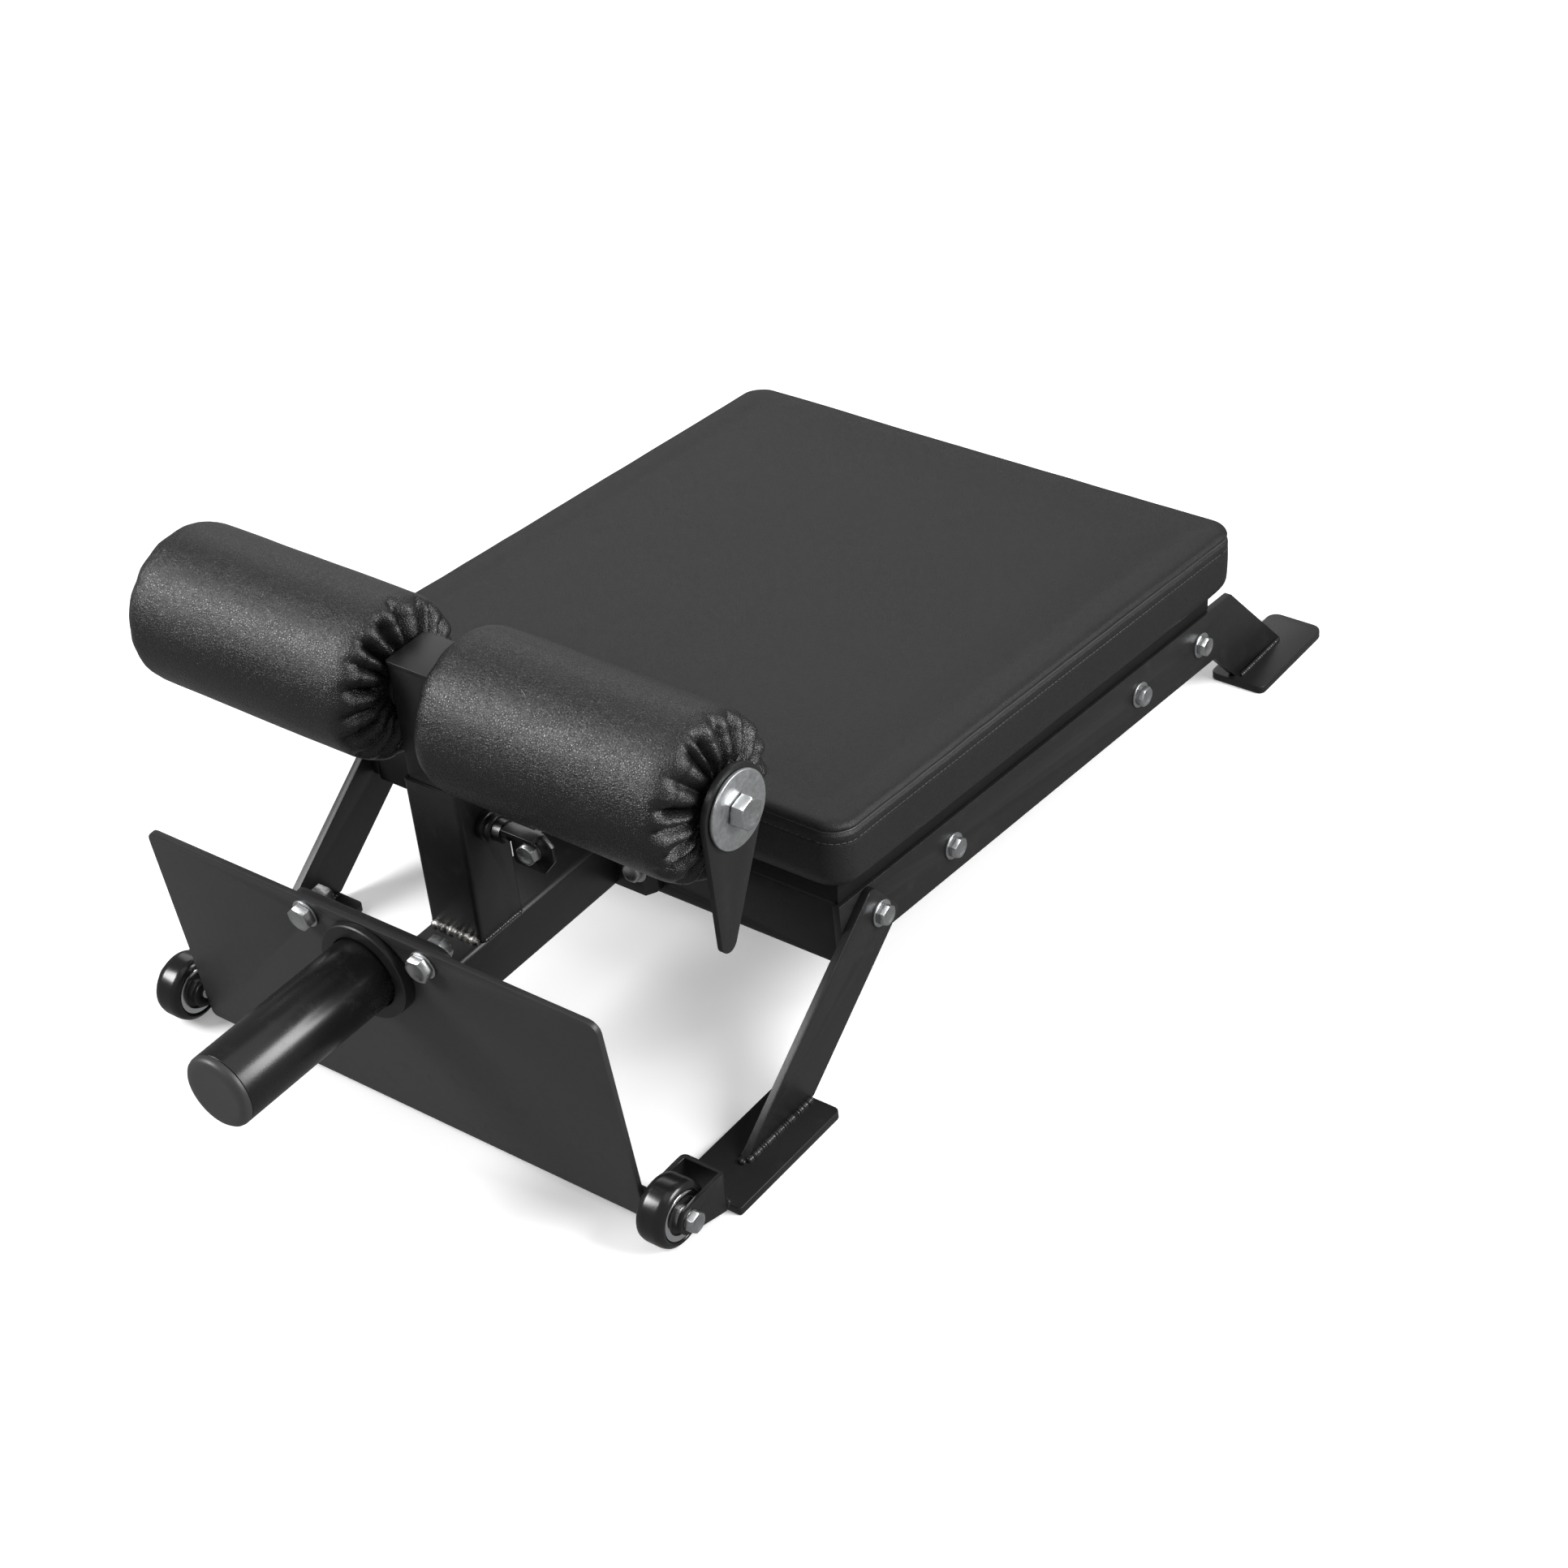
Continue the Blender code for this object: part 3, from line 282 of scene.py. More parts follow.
def moulded(name, dark=0.009, light=0.016, rough=0.32, grain=1500.0, depth=0.00004):
    """Black moulded plastic or rubber with a fine spark-eroded texture."""
    body = Finish(name)
    fine = body.clouds(grain, 2.0)
    slow = body.clouds(45.0, 4.0, 0.6)
    body.drive("Base Color", body.blend((dark,) * 3, (light,) * 3, slow * 0.7 + fine * 0.3))
    body.drive("Roughness", rough + slow * 0.12 + fine * 0.06)
    body.relief(fine * 0.7 + slow * 0.3, depth)
    return body.material


def dark_plywood(name):
    board = Finish(name, Specular_IOR_Level=0.25)
    grain = board.clouds(26.0, 5.0, 0.65, board.stretched((7.0, 1.0, 1.0)))
    plies = board.clouds(5.0, 2.0, 0.5, board.stretched((0.2, 0.2, 90.0))).lift(0.42, 0.58)
    # Dark-stained plywood taken on to near black: the stain is the board's own, the further darkening is
    # painted shade for the gap under the cushion.
    base = board.blend((0.0030, 0.0029, 0.0028), (0.0062, 0.0059, 0.0056), grain)
    board.drive("Base Color", board.blend(base, (0.0024, 0.0023, 0.0022), plies * 0.45))
    board.drive("Roughness", 0.58 + grain * 0.22)
    board.relief(grain * 0.7 + plies * 0.3, 0.00015)
    return board.material


def sewing_thread(name):
    thread = Finish(name)
    twist = thread.clouds(2600.0, 2.0)
    # The thread is dark grey, lighter than the leather round it: a painted highlight, so the stitch row shows
    # as a light line.
    thread.drive("Base Color", thread.blend((0.030, 0.030, 0.030), (0.080, 0.080, 0.078), twist))
    thread.drive("Roughness", 0.50 + twist * 0.2)
    thread.relief(twist, 0.00008)
    return thread.material


def bare_weld(name):
    """Uncoated weld metal: bright ridges, brown and blue heat tint and dark spatter."""
    bead = Finish(name, Metallic=1.0)
    ridges = bead.clouds(700.0, 3.0, 0.6)
    tint = bead.clouds(210.0, 3.0, 0.6).lift(0.40, 0.62)
    warm = bead.blend((0.30, 0.27, 0.23), (0.55, 0.56, 0.56), ridges)
    bead.drive("Base Color", bead.blend(warm, (0.045, 0.043, 0.043), tint * 0.8))
    bead.drive("Roughness", 0.30 + ridges * 0.24 + tint * 0.12)
    bead.relief(ridges, 0.0003)
    return bead.material


def floor_paper(name):
    paper = Finish(name, Specular_IOR_Level=0.1, Emission_Strength=FLOOR_GLOW)
    slow = paper.clouds(2.0, 3.0)
    paper.drive("Emission Color", paper.blend((0.96, 0.96, 0.96), (1.0, 1.0, 1.0), slow))
    paper.drive("Base Color", paper.blend((0.925, 0.925, 0.925), (0.945, 0.945, 0.945), slow))
    paper.drive("Roughness", 0.86 + slow * 0.06)
    return paper.material


COAT = powder_coat("black_powder_coat")
# The foot plate's coat is lighter than the frame's: partly its settled dust, partly a painted reflection of
# the floor.
PLATE_COAT_DUST_AND_REFLECTION = powder_coat("black_plate_coat_dust_and_reflection", dark=0.0150, light=0.0250, rough=0.37)
SATIN_COAT = powder_coat("black_peg_coat", dark=0.0045, light=0.0075, rough=0.19, grain_depth=0.00002)
# The coat on the weld beads is lighter than the frame's: a painted highlight for the bright line along each
# bead.
BEAD_COAT_PAINTED_HIGHLIGHT = powder_coat("coated_weld_painted_highlight", dark=0.010, light=0.020, rough=0.22, grain_depth=0.00015)
SEAT_LEATHER = grained_leather("seat_leather", pebble=0.0014, depth=0.00015, dark=0.0045, light=0.0115,
                               rough=0.43, gloss=0.42)
ROLLER_LEATHER = grained_leather("roller_leather", pebble=0.0016, depth=0.00019, dark=0.0028,
                                 light=0.0072, rough=0.25, gloss=0.58)
# The welt's leather is several times lighter than the seat's: a painted highlight, so the seam shows as a
# thin light line.
WELT_LEATHER_PAINTED_HIGHLIGHT = grained_leather("welt_leather_painted_highlight", pebble=0.0011, depth=0.00006, dark=0.0300, light=0.0480,
                               rough=0.30)
ZINC = zinc_plate("zinc_plate")
WASHER_ZINC = zinc_plate("washer_zinc", tint=(0.70, 0.72, 0.73), rough=0.30)
CHROME = bright_chrome("bearing_steel")
STEEL = turned_steel("turned_steel")
BLACK_STEEL = turned_steel("blackened_steel", dark=0.055, light=0.150)
TYRE = moulded("wheel_rubber", dark=0.0050, light=0.0090, rough=0.13, grain=900.0, depth=0.00002)
PLASTIC = moulded("black_plastic", dark=0.0060, light=0.0110)
CAP_PLASTIC = moulded("peg_cap_plastic", dark=0.0240, light=0.0340, rough=0.36)
SEAL = moulded("bearing_seal", dark=0.010, light=0.018, rough=0.42)
PLYWOOD = dark_plywood("stained_plywood_and_shade")
# The stitching's thread is lightened as a painted highlight.
THREAD = sewing_thread("thread_painted_highlight")
BARE_WELD = bare_weld("bare_weld")


# ---------------------------------------------------------------- modelling by hand
def stand_back():
    """Object mode with nothing selected."""
    if bpy.context.object and bpy.context.object.mode != "OBJECT":
        bpy.ops.object.mode_set(mode="OBJECT")
    bpy.ops.object.select_all(action="DESELECT")


def take(piece):
    stand_back()
    piece.select_set(True)
    bpy.context.view_layer.objects.active = piece
    return piece


def work_on(piece):
    take(piece)
    bpy.ops.object.mode_set(mode="EDIT")


def pick(piece, kind, test):
    """Selects just the faces or edges that pass the test."""
    bpy.ops.mesh.select_mode(type={"faces": "FACE", "edges": "EDGE"}[kind])
    bpy.ops.mesh.select_all(action="DESELECT")
    shape = bmesh.from_edit_mesh(piece.data)
    for part in getattr(shape, kind):
        if test(part):
            part.select_set(True)
    bmesh.update_edit_mesh(piece.data)


def middle(edge):
    return (edge.verts[0].co + edge.verts[1].co) / 2.0


def settle(piece, name=None):
    """Puts the piece's place into its mesh, with its object at the origin."""
    take(piece)
    bpy.ops.object.transform_apply(location=True, rotation=True, scale=True)
    if name:
        piece.name = name
        piece.data.name = name
    return piece


def apply_modifier(piece, kind, **settings):
    take(piece)
    step = piece.modifiers.new(kind.lower(), kind)
    for key, value in settings.items():
        setattr(step, key, value)
    bpy.ops.object.modifier_apply(modifier=step.name)
    return piece


def mend(piece):
    """Merges doubles, then turns the faces outwards."""
    work_on(piece)
    bpy.ops.mesh.select_all(action="SELECT")
    bpy.ops.mesh.remove_doubles(threshold=MERGE)
    bpy.ops.mesh.normals_make_consistent(inside=False)
    stand_back()
    return piece


def round_edges(piece, width, segments=2, angle=32.0):
    apply_modifier(piece, "BEVEL", width=width, segments=segments, limit_method="ANGLE",
                   angle_limit=math.radians(angle), use_clamp_overlap=True)
    apply_modifier(piece, "WEIGHTED_NORMAL", keep_sharp=True)
    return piece


def shade(piece, angle=40.0):
    take(piece)
    bpy.ops.object.shade_smooth_by_angle(angle=math.radians(angle))
    return piece


def hand_over(piece, body, finish, stands_for=()):
    piece.data.materials.clear()
    piece.data.materials.append(finish)
    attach(piece, body)
    if stands_for:
        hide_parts(*stands_for)
    return piece


def body_of(node):
    return nodes[node]["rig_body"]


def dress(piece, node, finish, edge=0.0, segments=2, smooth=40.0):
    """Rounds a piece's edges, smooths it and puts it in the place of its CAD node."""
    if edge:
        round_edges(piece, edge, segments)
    shade(piece, smooth)
    return hand_over(piece, body_of(node), finish, [node])


def copy_of_node(node, name):
    """A separate, merged copy of a CAD node, with its flat faces joined up."""
    piece = new_object(name, nodes[node].data.copy())
    work_on(piece)
    bpy.ops.mesh.select_all(action="SELECT")
    bpy.ops.mesh.remove_doubles(threshold=2.0 * MERGE)
    bpy.ops.mesh.dissolve_limited(angle_limit=math.radians(0.4))
    stand_back()
    return piece


def copy_to(piece, name, matrix):
    made = new_object(name, piece.data.copy())
    made.data.transform(matrix)
    return made


def join(pieces, name):
    stand_back()
    for piece in pieces:
        piece.select_set(True)
    bpy.context.view_layer.objects.active = pieces[0]
    bpy.ops.object.join()
    pieces[0].name = name
    pieces[0].data.name = name
    return pieces[0]


def turned(name, profile, centre, axis, steps=96, ring=True):
    """A profile of (radius, distance along the axis) points spun once round the axis."""
    axis = Vector(axis).normalized()
    across = axis.orthogonal().normalized()
    points = [Vector(centre) + across * r + axis * h for r, h in profile]
    edges = [(i, i + 1) for i in range(len(points) - 1)]
    if ring:
        edges.append((len(points) - 1, 0))
    mesh = bpy.data.meshes.new(name)
    mesh.from_pydata(points, edges, [])
    piece = new_object(name, mesh)
    work_on(piece)
    bpy.ops.mesh.select_all(action="SELECT")
    bpy.ops.mesh.spin(steps=steps, angle=TAU, center=centre, axis=axis)
    return mend(piece)


def tube(name, inner, outer, low, high, centre, steps=64, axis=RIGHTWARD):
    """A plain ring or tube between two radii, from low to high along its axis."""
    return turned(name, [(inner, low), (outer, low), (outer, high), (inner, high)], centre, axis, steps)


def both_ends(profile):
    """A profile's points for the high end, with the same points mirrored for the low end before them."""
    return [(r, -h) for r, h in profile] + profile[::-1]


def round_line(name, points, radius, resolution):
    """A round line through the points, still as a curve, and its spline."""
    curve = bpy.data.curves.new(name, "CURVE")
    curve.dimensions = "3D"
    curve.bevel_depth = radius
    curve.bevel_resolution = resolution
    spline = curve.splines.new("POLY")
    spline.points.add(len(points) - 1)
    for point, place in zip(spline.points, points):
        point.co = (*place, 1.0)
    return curve, spline


def as_mesh(name, curve):
    take(new_object(name, curve))
    bpy.ops.object.convert(target="MESH")
    return mend(bpy.context.object)


def face_centre(node, direction):
    """Middle of the node's outermost face in a direction."""
    direction = Vector(direction)
    points = {tuple(round(c, 5) for c in v.co) for v in nodes[node].data.vertices}
    top = max(Vector(p).dot(direction) for p in points)
    face = [Vector(p) for p in points if Vector(p).dot(direction) > top - 0.0001]
    return sum(face, Vector()) / len(face)


def bounds_of(node):
    low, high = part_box(node)
    return low, high, (low + high) / 2.0


def radius_of(node):
    low, high, _ = bounds_of(node)
    return (high.z - low.z) / 2.0


def along_x(node):
    """Where a piece that lies along X starts and ends, and the point of its axis at x 0."""
    low, high, mid = bounds_of(node)
    return low.x, high.x, Vector((0.0, mid.y, mid.z))


# ---------------------------------------------------------------- steel plates, bars and tubes
EDGE_ROUNDING = {
    "foot_plate": 0.0005, "beam_flange": 0.0006, "beam_end_plate": 0.0006,
    "front_cross_rail": 0.0004, "rear_cross_rail": 0.0004, "main_beam": 0.0004, "upright_sleeve": 0.0004,
    "post": 0.0003, "base_cross_bar": 0.0008,
}
for side, _ in SIDES:
    EDGE_ROUNDING.update({
        "base_plate_" + side: 0.0007, "front_leg_" + side: 0.0006, "side_rail_" + side: 0.0006,
        "rear_foot_" + side: 0.0007, "seat_bracket_" + side: 0.0005})

for node, width in EDGE_ROUNDING.items():
    coat = PLATE_COAT_DUST_AND_REFLECTION if node == "foot_plate" else COAT
    dress(copy_of_node(node, node + "_steel"), node, coat, width, smooth=30.0)


# ---------------------------------------------------------------- hex bolts
M8 = {"flats": 0.0130, "head": 0.0053, "washer_r": 0.0095, "washer_t": 0.0016, "shank_r": 0.0040}
M8_WHEEL = {"flats": 0.0130, "head": 0.0053, "washer_r": 0.0068, "washer_t": 0.0006, "shank_r": 0.0040}
M8_TAB = {"flats": 0.0130, "head": 0.0065, "washer_r": 0.0072, "washer_t": 0.0008, "shank_r": 0.0040}
M10 = {"flats": 0.0160, "head": 0.0064, "washer_r": 0.0100, "washer_t": 0.0018, "shank_r": 0.0050}
M12 = {"flats": 0.0190, "head": 0.0080, "washer_r": 0.0092, "washer_t": 0.0003, "shank_r": 0.0060}
SEAT_RING = 0.0004                 # height of the round seat under a hex head
THREAD_PITCH, THREAD_DEPTH = 0.00125, 0.0006
ORIGIN = (0.0, 0.0, 0.0)


def hex_block(name, flats, low, high):
    """A hexagon whose upper corners are turned off by a cone, as on a forged bolt head."""
    stand_back()
    bpy.ops.mesh.primitive_cylinder_add(vertices=6, radius=flats / math.sqrt(3.0), depth=high - low,
                                        location=(0.0, 0.0, (low + high) / 2.0))
    block = settle(bpy.context.object, name)
    work_on(block)
    pick(block, "edges", lambda e: abs(e.verts[0].co.z - e.verts[1].co.z) > 0.001)
    bpy.ops.mesh.bevel(offset=0.00025, segments=2)
    stand_back()
    flat_r, reach, over, slope = flats * 0.48, 0.03, 0.001, 1.9
    bpy.ops.mesh.primitive_cone_add(vertices=72, radius1=flat_r + (reach - over) * slope,
                                    radius2=flat_r - over * slope, depth=reach,
                                    location=(0.0, 0.0, high + over - reach / 2.0))
    cone = settle(bpy.context.object, name + "_cone")
    apply_modifier(block, "BOOLEAN", operation="INTERSECT", solver="EXACT", object=cone)
    bpy.data.objects.remove(cone, do_unlink=True)
    work_on(block)
    pick(block, "faces", lambda f: f.normal.z > 0.99 and f.calc_center_median().z > high - 0.0001)
    bpy.ops.mesh.inset(thickness=flats * 0.10, depth=0.0)
    bpy.ops.mesh.inset(thickness=flats * 0.04, depth=-0.00035)
    stand_back()
    return mend(block)


def bolt_pattern(name, flats, head, washer_r, washer_t, shank_r, grip, nut=None):
    """A hex bolt with its seat at z 0 and its axis on Z. A nut's height is given only where it shows."""
    washer = tube(name + "_washer", shank_r, washer_r, 0.0, washer_t, ORIGIN, axis=UP)
    round_edges(washer, washer_t * 0.28, 3)
    collar = tube(name + "_seat", shank_r, flats * 0.47, washer_t, washer_t + SEAT_RING, ORIGIN, 48, UP)
    block = hex_block(name + "_head", flats, washer_t + SEAT_RING - 0.0001, washer_t + head)
    thread = [(0.0, washer_t)]
    for i in range(int(grip / THREAD_PITCH)):
        thread.append((shank_r, -THREAD_PITCH * i))
        thread.append((shank_r - THREAD_DEPTH, -THREAD_PITCH * (i + 0.5)))
    thread += [(shank_r - 0.0008, -grip), (0.0, -grip)]
    made = [washer, collar, block, turned(name + "_shank", thread, ORIGIN, UP, 32, ring=False)]
    if nut:
        flipped = hex_block(name + "_nut", flats, 0.0, head * 1.2)
        flipped.data.transform(Matrix.Translation((0.0, 0.0, nut)) @ Matrix.Rotation(math.pi, 4, "X"))
        made.append(flipped)
    return shade(join(made, name), 35.0)


def standing(size):
    """How far a bolt's washer and head stand above its seat."""
    return size["washer_t"] + size["head"]


def set_bolt(pattern, node, axis, head_height, turn):
    """Puts a copy of the bolt where the CAD bolt's head is, turned about its own axis."""
    seat = face_centre(node, axis) - Vector(axis) * head_height
    matrix = Matrix.Translation(seat) @ UP.rotation_difference(Vector(axis)).to_matrix().to_4x4()
    made = copy_to(pattern, node + "_detail", matrix @ Matrix.Rotation(turn, 4, "Z"))
    return hand_over(made, body_of(node), ZINC, [node])


luck = random.Random(11)
leg_bolt = bolt_pattern("leg_bolt", grip=0.0255, **M8)
rail_bolt = bolt_pattern("rail_bolt", grip=0.0200, **M8)
beam_bolt = bolt_pattern("beam_bolt", grip=0.0180, **M8)
plate_bolt = bolt_pattern("plate_bolt", grip=0.0210, nut=-0.0106, **M10)
tab_bolt = bolt_pattern("tab_bolt", grip=0.0060, **M8_TAB)
for side, s in SIDES:
    for index in (1, 2, 3, 4):
        set_bolt(leg_bolt if index == 1 else rail_bolt, "rail_bolt_%s_%d" % (side, index), (s, 0.0, 0.0),
                 standing(M8), luck.uniform(0.0, 1.0))
    set_bolt(beam_bolt, "beam_bolt_" + side, SEAT_FRONT, standing(M8), luck.uniform(0.0, 1.0))
    set_bolt(plate_bolt, "foot_plate_bolt_" + side, PLATE_OUT, standing(M10), luck.uniform(0.0, 1.0))
set_bolt(tab_bolt, "pin_nut", FORWARD, standing(M8_TAB), 0.2)
for spare in (leg_bolt, rail_bolt, beam_bolt, plate_bolt, tab_bolt):
    bpy.data.objects.remove(spare, do_unlink=True)

# ---------------------------------------------------------------- wheels, forks and axles
TYRE_BORE = 0.0173
RACE_OUT, RACE_LIP = 0.0170, 0.0128            # outer race of a wheel bearing
RACE_IN, RACE_BORE = 0.0078, 0.0042            # inner race
for side, s in SIDES:
    tyre_node, bearing_node = "wheel_tyre_" + side, "wheel_bearing_" + side
    start, end, _ = along_x(tyre_node)
    centre = bounds_of(tyre_node)[2]
    radius = radius_of(tyre_node)
    half = (end - start) / 2.0
    tyre = turned(tyre_node + "_tread", both_ends([
        (TYRE_BORE, half - 0.0012), (radius - 0.0040, half), (radius - 0.0010, half - 0.0022),
        (radius, half - 0.0058)]), centre, RIGHTWARD, 128)
    round_edges(tyre, 0.0008, 3, 12.0)
    dress(tyre, tyre_node, TYRE, smooth=60.0)

    race_half = half - 0.0008
    outer = tube("wheel_race_outer_" + side, RACE_LIP, RACE_OUT, -race_half, race_half, centre, 96)
    inner = tube("wheel_race_inner_" + side, RACE_BORE, RACE_IN, -half - 0.0010, half + 0.0010, centre)
    races = join([round_edges(outer, 0.0005, 3), round_edges(inner, 0.0003)], "wheel_races_" + side)
    dress(races, bearing_node, CHROME)
    seal_half = race_half - 0.0012
    seal = turned("wheel_seal_" + side, both_ends([
        (0.0076, seal_half), (0.0100, seal_half + 0.0004), (0.0130, seal_half)]), centre, RIGHTWARD, 72)
    shade(seal)
    hand_over(seal, body_of(bearing_node), SEAL)

    fork_node = "wheel_fork_" + side
    fork = copy_of_node(fork_node, fork_node + "_steel")
    fork_low, fork_high, _ = bounds_of(fork_node)
    work_on(fork)
    pick(fork, "edges", lambda e: abs(e.verts[0].co.z - e.verts[1].co.z) > 0.015
         and middle(e).y > fork_high.y - 0.001
         and min(abs(middle(e).x - fork_low.x), abs(middle(e).x - fork_high.x)) < 0.0005)
    bpy.ops.mesh.bevel(offset=0.0042, segments=5)
    stand_back()
    dress(fork, fork_node, COAT, 0.0004, smooth=30.0)

    length = fork_high.x - fork_low.x + 0.0012
    axle_bolt = bolt_pattern("wheel_axle_%s_bolt" % side, grip=length, **M8_WHEEL)
    set_bolt(axle_bolt, "wheel_axle_" + side, (s, 0.0, 0.0), standing(M8_WHEEL), 0.3)
    bpy.data.objects.remove(axle_bolt, do_unlink=True)

# ---------------------------------------------------------------- weight peg with its stop collar and end cap
low, high, centre = bounds_of("weight_peg")
PEG_R = radius_of("weight_peg")
PLUG_R = PEG_R - 0.0033            # the cap's plug inside the tube
peg_axis = Vector((0.0, 0.0, centre.z))
peg = tube("weight_peg_tube", PEG_R - 0.003, PEG_R, low.y, high.y, peg_axis, 128, -FORWARD)
dress(peg, "weight_peg", SATIN_COAT, 0.0004)

cap_low, cap_high, _ = bounds_of("peg_end_cap")
cap = turned("peg_end_cap_moulding", [
    (0.0, cap_low.y + 0.0002), (PEG_R - 0.0085, cap_low.y), (PEG_R - 0.0060, cap_low.y),
    (PEG_R - 0.0022, cap_low.y + 0.0006), (PEG_R - 0.0006, cap_low.y + 0.0022), (PEG_R, cap_low.y + 0.0042),
    (PEG_R, low.y - 0.0004), (PLUG_R, low.y - 0.0003), (PLUG_R, cap_high.y), (0.0, cap_high.y)],
    peg_axis, -FORWARD, 128, ring=False)
dress(cap, "peg_end_cap", CAP_PLASTIC, smooth=50.0)

collar = copy_of_node("peg_collar", "peg_collar_steel")
apply_modifier(collar, "BEVEL", width=0.0016, segments=3, limit_method="ANGLE", angle_limit=math.radians(50))
dress(collar, "peg_collar", COAT, smooth=30.0)

# ---------------------------------------------------------------- post top, axle, washers, lever and pull-pin
dress(copy_of_node("post_cap", "post_cap_plate"), "post_cap", COAT, 0.0007, 3, 30.0)

AXLE_R, AXLE_BORE = radius_of("roller_axle"), 0.0063
start, end, line = along_x("roller_axle")
axle = tube("roller_axle_rod", AXLE_BORE, AXLE_R, start, end, line)
dress(axle, "roller_axle", STEEL, 0.0004)

WASHER_R, WASHER_BORE = 0.0250, 0.0066
for side, s in SIDES:
    node = "axle_washer_" + side
    start, end, line = along_x(node)
    washer = tube(node + "_plate", WASHER_BORE, WASHER_R, start, end, line, 128)
    dress(washer, node, WASHER_ZINC, 0.0005, 3)
    axle_bolt = bolt_pattern("axle_bolt_%s_set" % side, grip=0.0210, **M12)
    set_bolt(axle_bolt, "axle_bolt_" + side, (s, 0.0, 0.0), M12["head"], 0.25)
    bpy.data.objects.remove(axle_bolt, do_unlink=True)

lever = copy_of_node("release_lever", "release_lever_plate")
dress(lever, "release_lever", COAT, 0.0004, smooth=30.0)

COLLAR_R, COLLAR_BORE = 0.0280, 0.0128
start, end, line = along_x("end_collar")
end_ring = tube("end_collar_ring", COLLAR_BORE, COLLAR_R, start, end, line, 96)
dress(end_ring, "end_collar", COAT, 0.0008, 3)

BOSS_BORE, BOSS_R, NECK_R = 0.0052, 0.0100, 0.0088
start, end, pin_line = along_x("pin_housing")
housing = turned("pin_housing_boss", [
    (BOSS_BORE, start), (BOSS_R, start), (BOSS_R, start + 0.0046), (NECK_R, start + 0.0052),
    (NECK_R, start + 0.0062), (BOSS_R - 0.0002, start + 0.0068), (BOSS_R - 0.0002, end - 0.0014),
    (0.0086, end), (BOSS_BORE, end)], pin_line, RIGHTWARD, 64)
dress(housing, "pin_housing", PLASTIC, 0.0003)

PIN_R, PIN_COLLAR_R, PIN_PITCH = 0.0050, 0.0075, 0.0012
collar_x = end + 0.0003
nose, tail, _ = along_x("pull_pin")
pin_profile = [(0.0, nose), (0.0040, nose), (PIN_R, nose + 0.0010), (PIN_R, collar_x),
               (PIN_COLLAR_R, collar_x), (PIN_COLLAR_R, collar_x + 0.0060)]
x = collar_x + 0.0062
while x < tail - PIN_PITCH:
    pin_profile += [(PIN_R, x), (0.0043, x + PIN_PITCH / 2.0)]
    x += PIN_PITCH
pin_profile += [(0.0046, tail), (0.0, tail)]
pin = turned("pull_pin_stem", pin_profile, pin_line, RIGHTWARD, 48, ring=False)
dress(pin, "pull_pin", BLACK_STEEL, smooth=30.0)
dress(copy_of_node("pin_tab", "pin_tab_plate"), "pin_tab", BLACK_STEEL, 0.0004, smooth=30.0)

for side, _ in SIDES:
    node = "roller_core_" + side
    start, end, line = along_x(node)
    core = tube(node + "_sleeve", AXLE_R + 0.0002, radius_of(node), start, end, line)
    dress(core, node, PLASTIC, 0.0003)


# ---------------------------------------------------------------- padded pieces
FOAM_PRESSURE = 4.0
def fill_with_foam(piece, held, pressure, cap, frames=20, freedom=None):
    """Lets the cover swell under the foam's pressure, with no point moving further than the cap.

    Freedom gives the share of that move, from 0 to 1, which a point keeps."""
    group = piece.vertex_groups.new(name="held")
    group.add([v.index for v in piece.data.vertices if held(v.co)], 1.0, "REPLACE")
    before = [v.co.copy() for v in piece.data.vertices]
    take(piece)
    cloth = piece.modifiers.new("cover", "CLOTH")
    cloth.settings.quality = 5
    cloth.settings.mass = 0.25
    cloth.settings.tension_stiffness = 25.0
    cloth.settings.compression_stiffness = 25.0
    cloth.settings.shear_stiffness = 12.0
    cloth.settings.bending_stiffness = 1.5
    cloth.settings.use_pressure = True
    cloth.settings.uniform_pressure_force = pressure
    cloth.settings.effector_weights.gravity = 0.0
    cloth.settings.vertex_group_mass = group.name
    cloth.collision_settings.use_self_collision = False
    for step in range(1, frames + 1):
        bpy.context.scene.frame_set(step)
    bpy.ops.object.modifier_apply(modifier=cloth.name)
    bpy.context.scene.frame_set(1)
    for v, start in zip(piece.data.vertices, before):
        move = v.co - start
        if move.length > cap:
            move = move.normalized() * cap
        v.co = start + move * (freedom(start) if freedom else 1.0)
    piece.vertex_groups.clear()
    return piece


def cut_round(level):
    """Cuts an edge loop round the whole piece at a height."""
    bpy.ops.mesh.select_all(action="SELECT")
    bpy.ops.mesh.bisect(plane_co=(0.0, 0.0, level), plane_no=(0.0, 0.0, 1.0))


SEAT_HALF, SEAT_RUN = 0.2148, 0.2400           # the cushion's half width and half length
SEAT_THICK, SEAT_CORNER = 0.0515, 0.0200
SEAT_EDGE = 0.0058                             # rounding of the cover's upper edge
SIDE_PULL = 0.0012                             # how far each side is drawn in at its middle
SEAM_LEVEL = SEAT_THICK / 2.0 - 0.0062
STITCH_LEVEL = SEAM_LEVEL - 0.0075


def ramp(value):
    """The value held between 0 and 1."""
    return min(1.0, max(0.0, value))


def ease(share):
    """A straight rise from 0 to 1 made a smooth one."""
    return share * share * (3.0 - 2.0 * share)

